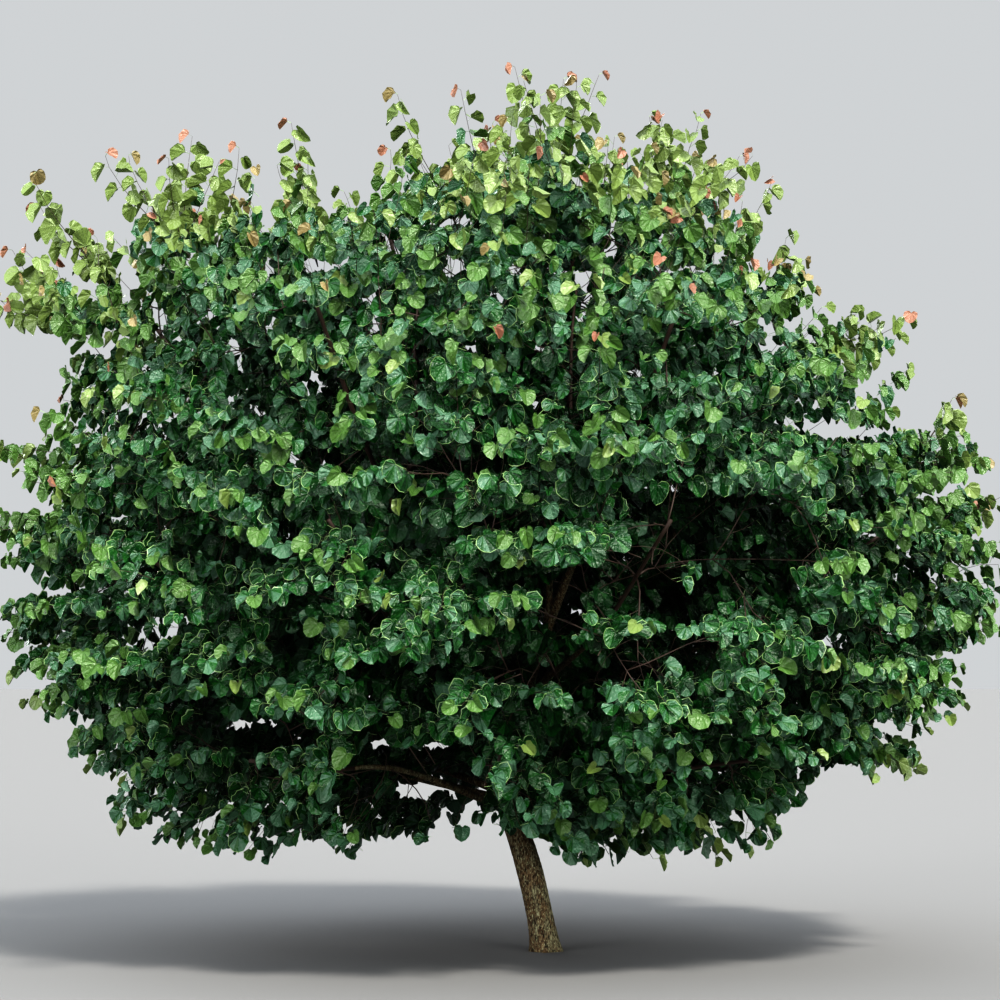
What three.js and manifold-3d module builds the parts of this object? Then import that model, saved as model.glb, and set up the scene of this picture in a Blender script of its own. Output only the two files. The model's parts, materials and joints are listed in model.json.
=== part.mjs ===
// A redbud tree (Cercis canadensis) in full summer leaf, grown in the open on a lawn.
// A short trunk leans to the left and forks below waist height into leaders. They carry a broad dome
// of foliage that hangs to knee height, and that is fuller on its left shoulder than on its right.
// Millimetres, +Z up, +X to the right of a person who faces the tree from the front, which is -Y.
// The origin is the middle of the flat cut under the trunk, at ground level.

import * as THREE from "three";
import { ConvexGeometry } from "three/addons/geometries/ConvexGeometry.js";
import { mergeVertices } from "three/addons/utils/BufferGeometryUtils.js";
import Module from "manifold-3d";

const wasm = await Module();
wasm.setup();

// ---- Driving dimensions ----------------------------------------------------------------------

// Trunk. At a height h its axis is h * (LEAN_START + LEAN_GAIN * h) to the left of its foot.
const FORK_HEIGHT = 850;
const TRUNK_TOP = FORK_HEIGHT + 60;
const LEAN_START = 0.12;
const LEAN_GAIN = 0.00019;
const TRUNK_FOOT_RADIUS = 69; // without the root flare
const TRUNK_FORK_RADIUS = 62;
const FLARE = 17; // how far the root flare stands out at ground level
const FLARE_HEIGHT = 70; // over which it dies away to a third
const BUTTRESSES = 5;
const BUTTRESS_DEPTH = 0.35; // of the flare
const TOP_ROUNDING = 0.5; // the trunk's radius at its very top, of that at its fork
const TRUNK_SIDES = 15;
const TRUNK_LEVELS = [0, 25, 60, 120, 220, 360, 520, 690, FORK_HEIGHT, FORK_HEIGHT + 40, TRUNK_TOP];

// Crown. Its outline is a superellipse of revolution about the level where it is widest.
const CROWN_CENTRE = new THREE.Vector3(-225, 0, 1760);
const SIDE_REACH = 2640;
const DEPTH_REACH = 2560;
const RISE = 2650;
const LEFT_SINK = 280; // how much lower the crown's left part is than its top
const LEFT_SLOPE = 1000; // over which it comes down to that
const DROP = 1450;
const FRONT_LIFT = 200; // how much less far the skirt drops at the front and back
const SHOULDER_LEFT = 3.4; // the outline's exponent: 2 is an ellipse, and more is squarer
const SHOULDER_RIGHT = 1.8;
const SKIRT_SHAPE = 3;

// Foliage masses, in tiers round the crown. tilt is the angle of a mass's middle above the widest
// level, share how far out it lies, tip how far along the way from the fork its bough ends.
const EIGHTHS = [
  "right", "back_right", "back", "back_left", "left", "front_left", "front", "front_right",
];
const BETWEEN_EIGHTHS = [
  "right_back", "back_right", "back_left", "left_back",
  "left_front", "front_left", "front_right", "right_front",
];
const SIXTHS = ["right", "back_right", "back_left", "left", "front_left", "front_right"];
const THIRDS = ["front_right", "back_right", "left"];
const TIERS = [
  { tier: "shoulder", names: SIXTHS, firstTurn: 0, tilt: 38, share: 0.76, tip: 0.6 },
  { tier: "top", names: THIRDS, firstTurn: -50, tilt: 73, share: 0.78, tip: 0.68 },
  { tier: "middle", names: BETWEEN_EIGHTHS, firstTurn: 22.5, tilt: 8, share: 0.76, tip: 0.55 },
  { tier: "skirt", names: EIGHTHS, firstTurn: 0, tilt: -26, share: 0.76, tip: 0.6 },
];

// Boughs of each tier: what they grow from and how far up it, their radii at the root and the tip,
// and how steeply they set out and end (the rise of the direction for each unit outwards). Those
// that grow from the trunk in three turns leave it one above another, a stagger apart.
const BOUGHS = {
  shoulder: { from: "trunk", at: 0.93, stagger: 0, root: 33, tip: 14, setOut: 1.5, end: 0.9 },
  top: { from: "shoulder", at: 0.42, root: 19, tip: 12, setOut: 2.5, end: 3 },
  middle: { from: "shoulder", at: 0.24, root: 20, tip: 11, setOut: 0.7, end: 0.35 },
  skirt: { from: "trunk", at: 0.86, stagger: 0.045, root: 21, tip: 11, setOut: 0.25, end: -0.1 },
};
const BOUGH_SIDES = 6;
const BOUGH_STEPS = 4;

// Twigs and leaves. Each leaf blade stands for a spray of heart-shaped leaves.
const TWIGS_PER_MASS = 7;
const TWIG_SIDES = 3;
const TWIG_SHARE = 0.5; // a twig's radius at its root, for each unit of its parent's there
const TWIG_TIP_RADIUS = 4;
const STEM_TIP_RADIUS = 9;
const STEM_STEPS = 3;
const STEM_JOINTS = [0.4, 0.6, 0.8, 0.95]; // shares of a stem's length from which twigs grow
const TWIG_JOINT = 0.55; // the share of a twig's length from which a further twig grows
const BLADES_AT = [1, 0.75, 0.5]; // shares of a twig's length at which blades grow
const BLADES_WITHIN = 0.98; // so that an end blade's root is in its twig, and not on its end
const BLADE_LENGTH = 500;
const BLADE_WIDTH = 460;
const BLADE_THICKNESS = 9;
const BLADE_WIDEST = 0.38; // where along its length a blade is widest
const BLADE_SUNK = 2; // how far a blade's root runs past the middle of its twig
const END_REACH = 3000; // what an end blade's tip on the crown's outline is worth, as mm of room
const OTHER_REACH = 500; // and what another blade's is
const DROOP = 0.3; // how strongly blades hang, against their random directions
const FOLLOW = 1.2; // how strongly an end blade carries on along its twig
const TURN = 1.1; // how far a blade's face turns at random from facing outwards
const TRIES = 60; // directions tried for each blade, and places for each twig's end
const SHELL_INSIDE = 0.58; // twigs end in the outer part of the crown, from this share outwards
const TWIG_OUTSIDE = 0.93; // to this one
const MASS_REACH = 1350; // from a mass's middle, further along each axis than its space goes
const SEED = 7919; // each mass's own seed is this times its number

// Room between pieces.
const GAP = 0.3; // between two limbs, and between a bough's tip and the stem of its mass
const SPACE_MARGIN = 6; // from a mass's leaves to the edge of its space
const TWIG_MARGIN = 25; // from a twig's end to the edge of its mass's space
const LIMB_MARGIN = 30; // from a leaf or twig to any limb
const OFF_TWIG = 15; // a blade that is moved this far out is off its twig, or it crosses it
const BLADE_MARGIN = 4; // from a blade to the other blades and twigs of its mass

const LEAF_COLOUR = 0x4c7a2b;
const BARK_COLOUR = 0x6d5846;

// ---- Small tools -----------------------------------------------------------------------------

const UP = new THREE.Vector3(0, 0, 1);
const radians = THREE.MathUtils.degToRad;
const mix = THREE.MathUtils.lerp;

/** A repeatable source of numbers from 0 to 1 (mulberry32). */
function seededRandom(seed) {
  let state = seed >>> 0;
  return () => {
    state = (state + 0x6d2b79f5) >>> 0;
    let t = state;
    t = Math.imul(t ^ (t >>> 15), t | 1);
    t ^= t + Math.imul(t ^ (t >>> 7), t | 61);
    return ((t ^ (t >>> 14)) >>> 0) / 4294967296;
  };
}

/** A vector with each number between -1 and 1. */
function randomVector(random) {
  const x = 2 * random() - 1;
  const y = 2 * random() - 1;
  const z = 2 * random() - 1;
  return new THREE.Vector3(x, y, z);
}

/** The closed solid that a geometry's triangles bound. */
function solidOf(geometry) {
  const bare = geometry.clone();
  bare.deleteAttribute("normal");
  bare.deleteAttribute("uv");
  const merged = mergeVertices(bare);
  return new wasm.Manifold(
    new wasm.Mesh({
      numProp: 3,
      vertProperties: new Float32Array(merged.attributes.position.array),
      triVerts: new Uint32Array(merged.index.array),
    }),
  );
}

/** A solid's triangles as a geometry. */
function geometryOf(solid) {
  const mesh = solid.getMesh();
  const geometry = new THREE.BufferGeometry();
  geometry.setAttribute("position", new THREE.BufferAttribute(mesh.vertProperties, 3));
  geometry.setIndex(new THREE.BufferAttribute(mesh.triVerts, 1));
  geometry.computeVertexNormals();
  return geometry;
}

/** The largest closed body of a solid. Sealed hollows and loose scraps are left out. */
function mainBody(solid) {
  const bodies = solid.decompose();
  return bodies.reduce((best, body) => (body.volume() > best.volume() ? body : best));
}

/** A cylinder of `sides` and `steps` whose rings are laid along a curve, tapering from root to tip. */
function taperedTube(curve, rootRadius, tipRadius, sides, steps) {
  const geometry = new THREE.CylinderGeometry(1, 1, 1, sides, steps);
  const frames = curve.computeFrenetFrames(steps, false);
  const centres = frames.tangents.map((_, i) => curve.getPointAt(i / steps));
  const place = geometry.attributes.position;
  for (let i = 0; i < place.count; i++) {
    const ring = Math.round((place.getY(i) + 0.5) * steps);
    const radius = mix(rootRadius, tipRadius, ring / steps);
    const vertex = centres[ring]
      .clone()
      .addScaledVector(frames.binormals[ring], radius * place.getX(i))
      .addScaledVector(frames.normals[ring], radius * place.getZ(i));
    place.setXYZ(i, vertex.x, vertex.y, vertex.z);
  }
  return geometry;
}

/** A cubic curve from one point to another, with the directions in which it leaves and arrives. */
function limbCurve(start, end, leaving, arriving) {
  const third = start.distanceTo(end) / 3;
  return new THREE.CubicBezierCurve3(
    start,
    start.clone().addScaledVector(leaving.clone().normalize(), third),
    end.clone().addScaledVector(arriving.clone().normalize(), -third),
    end,
  );
}

// ---- Crown -----------------------------------------------------------------------------------

/** How far out a point lies in the crown: 0 at its centre and 1 on its outline. */
function crownShare(point) {
  const offset = point.clone().sub(CROWN_CENTRE);
  const aside = Math.hypot(offset.x, offset.y) || 1;
  const middle = (SHOULDER_LEFT + SHOULDER_RIGHT) / 2;
  const spread = (SHOULDER_LEFT - SHOULDER_RIGHT) / 2;
  const shape = offset.z > 0 ? middle - (spread * offset.x) / aside : SKIRT_SHAPE;
  const across = Math.hypot(offset.x / SIDE_REACH, offset.y / DEPTH_REACH);
  const rise = RISE - LEFT_SINK * THREE.MathUtils.clamp(-offset.x / LEFT_SLOPE, 0, 1);
  const drop = DROP - FRONT_LIFT * (offset.y / aside) ** 2;
  const along = offset.z > 0 ? offset.z / rise : -offset.z / drop;
  return (across ** shape + along ** shape) ** (1 / shape);
}

/** The middles of the foliage masses, tier by tier. */
function placeMasses() {
  const masses = [];
  for (const { tier, names, firstTurn, tilt, share, tip } of TIERS) {
    names.forEach((name, i) => {
      const turn = radians(firstTurn + (360 / names.length) * i);
      const rise = radians(tilt);
      const way = new THREE.Vector3(
        Math.cos(turn) * Math.cos(rise),
        Math.sin(turn) * Math.cos(rise),
        Math.sin(rise),
      );
      const probe = CROWN_CENTRE.clone().addScaledVector(way, MASS_REACH);
      const reach = MASS_REACH / crownShare(probe);
      const middle = CROWN_CENTRE.clone().addScaledVector(way, share * reach);
      masses.push({ tier, name, turn, tip, middle, number: masses.length + 1 });
    });
  }
  return masses;
}

// ---- Trunk -----------------------------------------------------------------------------------

/** The trunk's axis at a height. */
function trunkAxis(height) {
  return new THREE.Vector3(-height * (LEAN_START + LEAN_GAIN * height), 0, height);
}

/** The trunk's radius at a height, in a direction, with its root flare and rounded top. */
function trunkRadius(height, angle) {
  const taper = mix(TRUNK_FOOT_RADIUS, TRUNK_FORK_RADIUS, height / FORK_HEIGHT);
  const flare = FLARE * Math.exp(-height / FLARE_HEIGHT);
  const lobes = 1 + BUTTRESS_DEPTH * Math.cos(BUTTRESSES * angle);
  const overFork = Math.max(0, height - FORK_HEIGHT) / (TRUNK_TOP - FORK_HEIGHT);
  const rounding = Math.sqrt(1 - (1 - TOP_ROUNDING ** 2) * overFork ** 2);
  return (taper + flare * lobes) * rounding;
}

/** The trunk, from the flat cut at ground level to just over its fork, `grown` by a skin. */
function trunkSolid(grown) {
  const steps = TRUNK_LEVELS.length - 1;
  const geometry = new THREE.CylinderGeometry(1, 1, 1, TRUNK_SIDES, steps);
  const place = geometry.attributes.position;
  for (let i = 0; i < place.count; i++) {
    const ring = Math.round((place.getY(i) + 0.5) * steps);
    const level = TRUNK_LEVELS[ring];
    const angle = Math.atan2(place.getX(i), place.getZ(i));
    const onAxis = Math.hypot(place.getX(i), place.getZ(i)) < 0.5;
    const radius = onAxis ? 0 : trunkRadius(level, angle) + grown;
    const axis = trunkAxis(level);
    const top = ring === steps ? grown : 0;
    place.setXYZ(i, axis.x + radius * Math.sin(angle), -radius * Math.cos(angle), level + top);
  }
  return solidOf(geometry);
}

// ---- Boughs ----------------------------------------------------------------------------------

/** Points along a limb's axis with the radius there, close enough together to test distances by. */
function limbSamples(pointAt, rootRadius, tipRadius) {
  const samples = 24;
  return Array.from({ length: samples + 1 }, (_, i) => ({
    point: pointAt(i / samples),
    radius: mix(rootRadius, tipRadius, i / samples),
  }));
}

/** The leader whose direction is nearest to a mass's. */
function nearestLeader(mass, leaders) {
  const apart = (leader) => -Math.cos(leader.mass.turn - mass.turn);
  return leaders.reduce((best, leader) => (apart(leader) < apart(best) ? leader : best));
}

/** The bough that carries a mass. */
function makeBough(mass, leaders) {
  const rule = BOUGHS[mass.tier];
  const parent = rule.from === "trunk" ? null : nearestLeader(mass, leaders);
  const height = (rule.at - rule.stagger * (mass.number % 3)) * TRUNK_TOP;
  const start = parent ? parent.curve.getPointAt(rule.at) : trunkAxis(height);
  const end = trunkAxis(FORK_HEIGHT).lerp(mass.middle, mass.tip);
  const out = end.clone().sub(start).setZ(0).normalize();
  const leaving = out.clone().addScaledVector(UP, rule.setOut);
  const arriving = out.clone().addScaledVector(UP, rule.end);
  const curve = limbCurve(start, end, leaving, arriving);
  const tube = (grown) =>
    solidOf(
      taperedTube(curve, rule.root + grown, rule.tip + grown, BOUGH_SIDES, BOUGH_STEPS),
    );
  return {
    name: `bough_${mass.tier}_${mass.name}`,
    mass,
    curve,
    tipRadius: rule.tip,
    samples: limbSamples((share) => curve.getPointAt(share), rule.root, rule.tip),
    solid: tube(0),
    skin: tube(GAP),
  };
}

/** Cuts each bough clear of the trunk and of the boughs before it. */
function fitBoughs(boughs, trunkSkin) {
  const skins = [trunkSkin];
  for (const bough of boughs) {
    const cut = skins.reduce((rest, skin) => rest.subtract(skin), bough.solid);
    bough.solid = mainBody(cut);
    skins.push(bough.skin);
  }
}

// ---- Foliage ---------------------------------------------------------------------------------

/** True if a point lies in a mass's own space, at least `margin` from the next mass's. */
function inSpace(point, mass, masses, margin) {
  if (crownShare(point) > 1) return false;
  const own = point.distanceToSquared(mass.middle);
  return masses.every(
    (other) =>
      other === mass ||
      point.distanceToSquared(other.middle) - own >=
        2 * margin * mass.middle.distanceTo(other.middle),
  );
}

/** True if a point is clear of every limb. */
function clearOfLimbs(point, limbs) {
  return limbs.every((limb) =>
    limb.samples.every(
      (sample) => point.distanceTo(sample.point) > sample.radius + LIMB_MARGIN,
    ),
  );
}

/** How far a point is from the nearest of others, or `most` where it is further than that. */
function roomAround(point, others, most) {
  return others.reduce((room, other) => Math.min(room, point.distanceTo(other)), most);
}

/** Points spread evenly through the outer part of a mass's space, for its twigs to grow to. */
function twigEnds(mass, middles, masses, limbs, random) {
  const ends = [];
  while (ends.length < TWIGS_PER_MASS) {
    let best = null;
    let bestRoom = -1;
    for (let found = 0; found < TRIES; ) {
      const point = mass.middle.clone().addScaledVector(randomVector(random), MASS_REACH);
      const share = crownShare(point);
      if (share < SHELL_INSIDE || share > TWIG_OUTSIDE) continue;
      if (!inSpace(point, mass, masses, TWIG_MARGIN) || !clearOfLimbs(point, limbs)) continue;
      found++;
      const room = roomAround(point, [...ends, ...middles], MASS_REACH);
      if (room > bestRoom) [best, bestRoom] = [point, room];
    }
    ends.push(best);
  }
  return ends;
}

/** A thin kite, folded along its midrib: x runs along it from its root, y across, z through it. */
function bladeGeometry() {
  const belly = BLADE_WIDEST * BLADE_LENGTH;
  return new ConvexGeometry([
    new THREE.Vector3(-BLADE_SUNK, 0, 0),
    new THREE.Vector3(belly, BLADE_WIDTH / 2, -BLADE_THICKNESS),
    new THREE.Vector3(belly, -BLADE_WIDTH / 2, -BLADE_THICKNESS),
    new THREE.Vector3(BLADE_LENGTH, 0, 0),
  ]);
}

/** A blade's frame: its root at a point, its length along `way`, its face turned towards `facing`. */
function bladeMatrix(root, way, facing) {
  const along = way.clone().normalize();
  const across = facing.clone().cross(along).normalize();
  const through = along.clone().cross(across);
  return new THREE.Matrix4().makeBasis(along, across, through).setPosition(root);
}

/** Points over a blade, to test that it stays in its space and clear of limbs. */
function bladeSamples(matrix) {
  const samples = [];
  for (let i = 0; i <= 7; i++) {
    const along = i / 7;
    const half = Math.min(along / BLADE_WIDEST, (1 - along) / (1 - BLADE_WIDEST));
    for (let j = -2; j <= 2; j++) {
      samples.push(
        new THREE.Vector3(
          along * BLADE_LENGTH,
          (j / 2) * half * (BLADE_WIDTH / 2),
          0,
        ).applyMatrix4(matrix),
      );
    }
  }
  return samples;
}

/** A blade from a twig at a share of its length, in the emptiest place that it fits, or null. */
function growBlade(twig, share, solids, middles, mass, masses, limbs, random) {
  const root = twig.curve.getPointAt(share * BLADES_WITHIN);
  const twigWay = twig.curve.getTangentAt(share);
  const outward = root.clone().sub(CROWN_CENTRE).normalize();
  const atEnd = share === 1;
  let best = null;
  let bestScore = 0;
  for (let attempt = 0; attempt < TRIES; attempt++) {
    const way = randomVector(random).addScaledVector(UP, -DROOP);
    if (atEnd) way.addScaledVector(twigWay, FOLLOW);
    way.normalize();
    const facing = outward.clone().addScaledVector(randomVector(random), TURN);
    const matrix = bladeMatrix(root, way, facing);
    const fits = bladeSamples(matrix).every(
      (point) => inSpace(point, mass, masses, SPACE_MARGIN) && clearOfLimbs(point, limbs),
    );
    const middle = root.clone().addScaledVector(way, BLADE_LENGTH / 2);
    const tip = root.clone().addScaledVector(way, BLADE_LENGTH);
    const room = roomAround(middle, middles, BLADE_LENGTH);
    const score = room + (atEnd ? END_REACH : OTHER_REACH) * crownShare(tip);
    if (!fits || score < bestScore) continue;
    const blade = solidOf(bladeGeometry().applyMatrix4(matrix));
    const offTwig = blade.translate(way.clone().multiplyScalar(OFF_TWIG).toArray());
    const clear =
      solids.every((solid) => blade.minGap(solid, 2 * BLADE_MARGIN) > BLADE_MARGIN) &&
      offTwig.minGap(twig.solid, BLADE_MARGIN) > 0;
    if (clear) [best, bestScore] = [{ solid: blade, middle }, score];
  }
  return best;
}

/** One mass of foliage: a stem from its bough's tip, twigs to its ends, and blades on the twigs. */
function growMass(bough, masses, limbs, middles) {
  const { mass } = bough;
  const random = seededRandom(SEED * mass.number);
  const heading = bough.curve.getTangentAt(1);
  const start = bough.curve.getPointAt(1).addScaledVector(heading, GAP);
  const outward = mass.middle.clone().sub(start).normalize();
  const stemCurve = limbCurve(start, mass.middle, heading, outward);
  const stem = taperedTube(stemCurve, bough.tipRadius, STEM_TIP_RADIUS, TWIG_SIDES, STEM_STEPS);
  const twigs = [];
  // Points that a twig can grow from, with the radius there.
  const joints = STEM_JOINTS.map((share) => ({
    point: stemCurve.getPointAt(share),
    radius: mix(bough.tipRadius, STEM_TIP_RADIUS, share),
  }));
  const ends = twigEnds(mass, middles, masses, limbs, random);
  ends.sort((a, b) => a.distanceTo(start) - b.distanceTo(start));
  for (const twigEnd of ends) {
    const joint = joints.reduce((best, one) =>
      one.point.distanceTo(twigEnd) < best.point.distanceTo(twigEnd) ? one : best,
    );
    const root = TWIG_SHARE * joint.radius;
    const curve = new THREE.LineCurve3(joint.point, twigEnd);
    const clear = [0.25, 0.5, 0.75, 1].every((share) => {
      const point = curve.getPointAt(share);
      return inSpace(point, mass, masses, SPACE_MARGIN) && clearOfLimbs(point, limbs);
    });
    if (!clear) continue;
    const twig = taperedTube(curve, root, TWIG_TIP_RADIUS, TWIG_SIDES, 1);
    twigs.push({ curve, solid: solidOf(twig) });
    joints.push({
      point: curve.getPointAt(TWIG_JOINT),
      radius: mix(root, TWIG_TIP_RADIUS, TWIG_JOINT),
    });
  }
  const pieces = [solidOf(stem), ...twigs.map((twig) => twig.solid)];
  for (const share of BLADES_AT) {
    for (const twig of twigs) {
      const others = pieces.filter((piece) => piece !== twig.solid);
      const blade = growBlade(twig, share, others, middles, mass, masses, limbs, random);
      if (!blade) continue;
      pieces.push(blade.solid);
      middles.push(blade.middle);
    }
  }
  return mainBody(wasm.Manifold.union(pieces));
}

// ---- The tree --------------------------------------------------------------------------------

const barkMaterial = new THREE.MeshStandardMaterial({
  color: BARK_COLOUR,
  roughness: 0.9,
  metalness: 0,
});
const leafMaterial = new THREE.MeshStandardMaterial({
  color: LEAF_COLOUR,
  roughness: 0.5,
  metalness: 0,
});

/** A named mesh of one solid. */
function namedMesh(name, solid, material) {
  const mesh = new THREE.Mesh(geometryOf(solid), material);
  mesh.name = name;
  return mesh;
}

const masses = placeMasses();
const boughs = [];
for (const mass of masses) {
  const leaders = boughs.filter((bough) => bough.mass.tier === "shoulder");
  boughs.push(makeBough(mass, leaders));
}
fitBoughs(boughs, trunkSolid(GAP));

const onTrunk = (share) => trunkAxis(share * TRUNK_TOP);
const trunkSamples = limbSamples(onTrunk, TRUNK_FOOT_RADIUS + FLARE, TRUNK_FORK_RADIUS);
const limbs = [...boughs, { samples: trunkSamples }];

const tree = new THREE.Group();
tree.add(namedMesh("trunk", trunkSolid(0), barkMaterial));
for (const bough of boughs) {
  tree.add(namedMesh(bough.name, bough.solid, barkMaterial));
}
const middles = []; // of all the blades
for (const bough of boughs) {
  const { tier, name } = bough.mass;
  const solid = growMass(bough, masses, limbs, middles);
  tree.add(namedMesh(`foliage_${tier}_${name}`, solid, leafMaterial));
}

export default tree;
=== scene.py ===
"""A redbud tree (Cercis canadensis) in full summer leaf, dressed over its CAD model.

The CAD model gives the trunk, the main boughs and one mass of foliage at each bough's end. Here a
mesh with the bark's relief replaces the trunk and boughs, and twigs and life-size leaves replace the
masses. They grow by the CAD source's rule, which is carried on to finer twigs: a stem goes on from
each bough's tip, branches grow from it to the outer part of the mass's space, shoots stand along
the branches, and heart-shaped leaves hang along the shoots.

Metres, +Z up. The tree's front faces -Y, and its foot is at the origin.
"""

import json
import math
from collections import defaultdict

import bpy
import numpy as np
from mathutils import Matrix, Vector, noise
from mathutils.kdtree import KDTree

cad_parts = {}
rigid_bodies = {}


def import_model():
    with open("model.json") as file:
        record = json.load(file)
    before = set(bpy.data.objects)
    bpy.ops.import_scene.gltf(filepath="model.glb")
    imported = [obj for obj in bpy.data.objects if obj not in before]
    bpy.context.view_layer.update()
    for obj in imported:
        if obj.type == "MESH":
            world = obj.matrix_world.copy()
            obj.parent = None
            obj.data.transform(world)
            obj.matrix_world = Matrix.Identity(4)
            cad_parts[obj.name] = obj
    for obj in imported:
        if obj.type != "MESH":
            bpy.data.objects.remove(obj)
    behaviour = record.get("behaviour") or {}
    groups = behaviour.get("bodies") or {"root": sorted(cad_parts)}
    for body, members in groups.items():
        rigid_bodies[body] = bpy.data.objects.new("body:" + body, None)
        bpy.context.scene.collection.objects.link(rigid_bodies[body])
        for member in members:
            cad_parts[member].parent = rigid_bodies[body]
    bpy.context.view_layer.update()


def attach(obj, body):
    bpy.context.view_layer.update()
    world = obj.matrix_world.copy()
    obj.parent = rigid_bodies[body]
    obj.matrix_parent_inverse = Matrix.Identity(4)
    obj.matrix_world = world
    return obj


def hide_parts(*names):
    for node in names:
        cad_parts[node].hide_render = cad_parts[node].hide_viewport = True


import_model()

# ---- Camera ----

CAMERA_PLACE = (-0.225, -13.8, 1.34)
CAMERA_PITCH = 3.73  # degrees above the horizon
CAMERA_LENS = 99.4  # mm
SENSOR_WIDTH = 36  # mm

camera = bpy.data.objects.new("camera", bpy.data.cameras.new("camera"))
camera.location = CAMERA_PLACE
camera.rotation_euler = (math.radians(90 + CAMERA_PITCH), 0, 0)
camera.data.lens = CAMERA_LENS
camera.data.sensor_width = SENSOR_WIDTH
bpy.context.scene.collection.objects.link(camera)
bpy.context.scene.camera = camera

# ---- Sizes that the CAD source has too, in metres ----

# Trunk. At a height h its axis is h * (LEAN_START + LEAN_GAIN * h) to the left of its foot.
FORK_HEIGHT = 0.85
TRUNK_TOP = FORK_HEIGHT + 0.06
LEAN_START = 0.12
LEAN_GAIN = 0.19
TRUNK_FOOT_RADIUS = 0.069
TRUNK_FORK_RADIUS = 0.062
FLARE = 0.017
FLARE_HEIGHT = 0.07
BUTTRESSES = 5
BUTTRESS_DEPTH = 0.35
TOP_ROUNDING = 0.5

# Crown. Its outline is a superellipse of revolution about the level where it is widest.
CROWN_CENTRE = np.array([-0.225, 0.0, 1.76])
SIDE_REACH = 2.64
DEPTH_REACH = 2.56
RISE = 2.65
LEFT_SINK = 0.28
LEFT_SLOPE = 1.0
DROP = 1.45
FRONT_LIFT = 0.2
SHOULDER_LEFT = 3.4
SHOULDER_RIGHT = 1.8
SKIRT_SHAPE = 3

# Foliage masses in tiers, and the boughs that carry them, as the CAD source lists them.
EIGHTHS = ["right", "back_right", "back", "back_left", "left", "front_left", "front", "front_right"]
BETWEEN_EIGHTHS = [
    "right_back", "back_right", "back_left", "left_back",
    "left_front", "front_left", "front_right", "right_front",
]  # fmt: skip
SIXTHS = ["right", "back_right", "back_left", "left", "front_left", "front_right"]
THIRDS = ["front_right", "back_right", "left"]
TIERS = [
    {"tier": "shoulder", "names": SIXTHS, "turn": 0, "tilt": 38, "share": 0.76, "tip": 0.6},
    {"tier": "top", "names": THIRDS, "turn": -50, "tilt": 73, "share": 0.78, "tip": 0.68},
    {"tier": "middle", "names": BETWEEN_EIGHTHS, "turn": 22.5, "tilt": 8, "share": 0.76, "tip": 0.55},
    {"tier": "skirt", "names": EIGHTHS, "turn": 0, "tilt": -26, "share": 0.76, "tip": 0.6},
]
BOUGHS = {
    "shoulder": {"at": 0.93, "stagger": 0, "root": 0.033, "tip": 0.014, "set_out": 1.5, "end": 0.9},
    "top": {"parent": "shoulder", "at": 0.42, "root": 0.019, "tip": 0.012, "set_out": 2.5, "end": 3},
    "middle": {
        "parent": "shoulder", "at": 0.24, "root": 0.02, "tip": 0.011, "set_out": 0.7, "end": 0.35,
    },
    "skirt": {
        "at": 0.86, "stagger": 0.045, "root": 0.021, "tip": 0.011, "set_out": 0.25, "end": -0.1,
    },
}  # fmt: skip
STEM_TIP_RADIUS = 0.009
STEM_JOINTS = [0.25, 0.4, 0.6, 0.8, 0.95]  # where twigs leave a mass's stem, as shares of it
TWIG_JOINT = 0.55  # where further twigs leave a twig
MASS_REACH = 1.35
LIMB_MARGIN = 0.03  # how far leaves keep from the trunk and boughs
SEED = 7919

UP = np.array([0.0, 0.0, 1.0])

# ---- Small tools ----


def unit(vectors):
    """The vectors, each at length 1."""
    return vectors / np.maximum(np.linalg.norm(vectors, axis=-1, keepdims=True), 1e-9)


def mix(start, end, share):
    """The value a share of the way from start to end."""
    return start + (end - start) * share


def smooth_step(value, low, high):
    """0 below low, 1 above high, and smooth between them."""
    share = np.clip((value - low) / (high - low), 0, 1)
    return share * share * (3 - 2 * share)


def direction(turn, rise):
    """The direction at a turn from the right towards the back and a rise, both in degrees."""
    turn, rise = math.radians(turn), math.radians(rise)
    level = math.cos(rise)
    return np.array([math.cos(turn) * level, math.sin(turn) * level, math.sin(rise)])


def two_sides(count):
    """1 and -1 by turns, in a column."""
    return np.where(np.arange(count) % 2 == 0, 1.0, -1.0)[:, None]


def drawn(random, span, count=None):
    """Random numbers from a span, which is given as its start and its width."""
    return span[0] + span[1] * random.random(count)


def swing(random, width, shape=None):
    """Random numbers spread over a width about 0."""
    return width * (random.random(shape) - 0.5)


def noise_at(points, scale):
    """Smooth noise at points, finer for a larger scale."""
    return np.array([noise.noise(Vector(point * scale)) for point in points])


def search_tree(points):
    """A tree that finds the points near a place."""
    tree = KDTree(len(points))
    for i, point in enumerate(points):
        tree.insert(point, i)
    tree.balance()
    return tree


class Curve:
    """A curve through close points, which is read by shares of its length."""

    def __init__(self, points):
        self.points = np.asarray(points, float)
        steps = np.linalg.norm(np.diff(self.points, axis=0), axis=1)
        self.travel = np.concatenate([[0], np.cumsum(steps)])
        self.length = self.travel[-1]

    def at(self, share):
        """The point, or points, at a share of the length."""
        distance = np.asarray(share) * self.length
        return np.stack(
            [np.interp(distance, self.travel, self.points[:, axis]) for axis in range(3)], axis=-1
        )

    def way(self, share):
        """The direction of the curve there, between points a little before and after."""
        step = 0.02
        ahead = self.at(np.minimum(np.asarray(share) + step, 1))
        return unit(ahead - self.at(np.maximum(np.asarray(share) - step, 0)))


def limb_curve(start, end, leaving, arriving, steps=48):
    """A cubic curve between two points, with the directions in which it leaves and arrives."""
    third = np.linalg.norm(end - start) / 3
    controls = [start, start + unit(leaving) * third, end - unit(arriving) * third, end]
    t = np.linspace(0, 1, steps + 1)[:, None]
    weights = [(1 - t) ** 3, 3 * t * (1 - t) ** 2, 3 * t * t * (1 - t), t**3]
    return Curve(sum(weight * control for weight, control in zip(weights, controls)))


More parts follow.
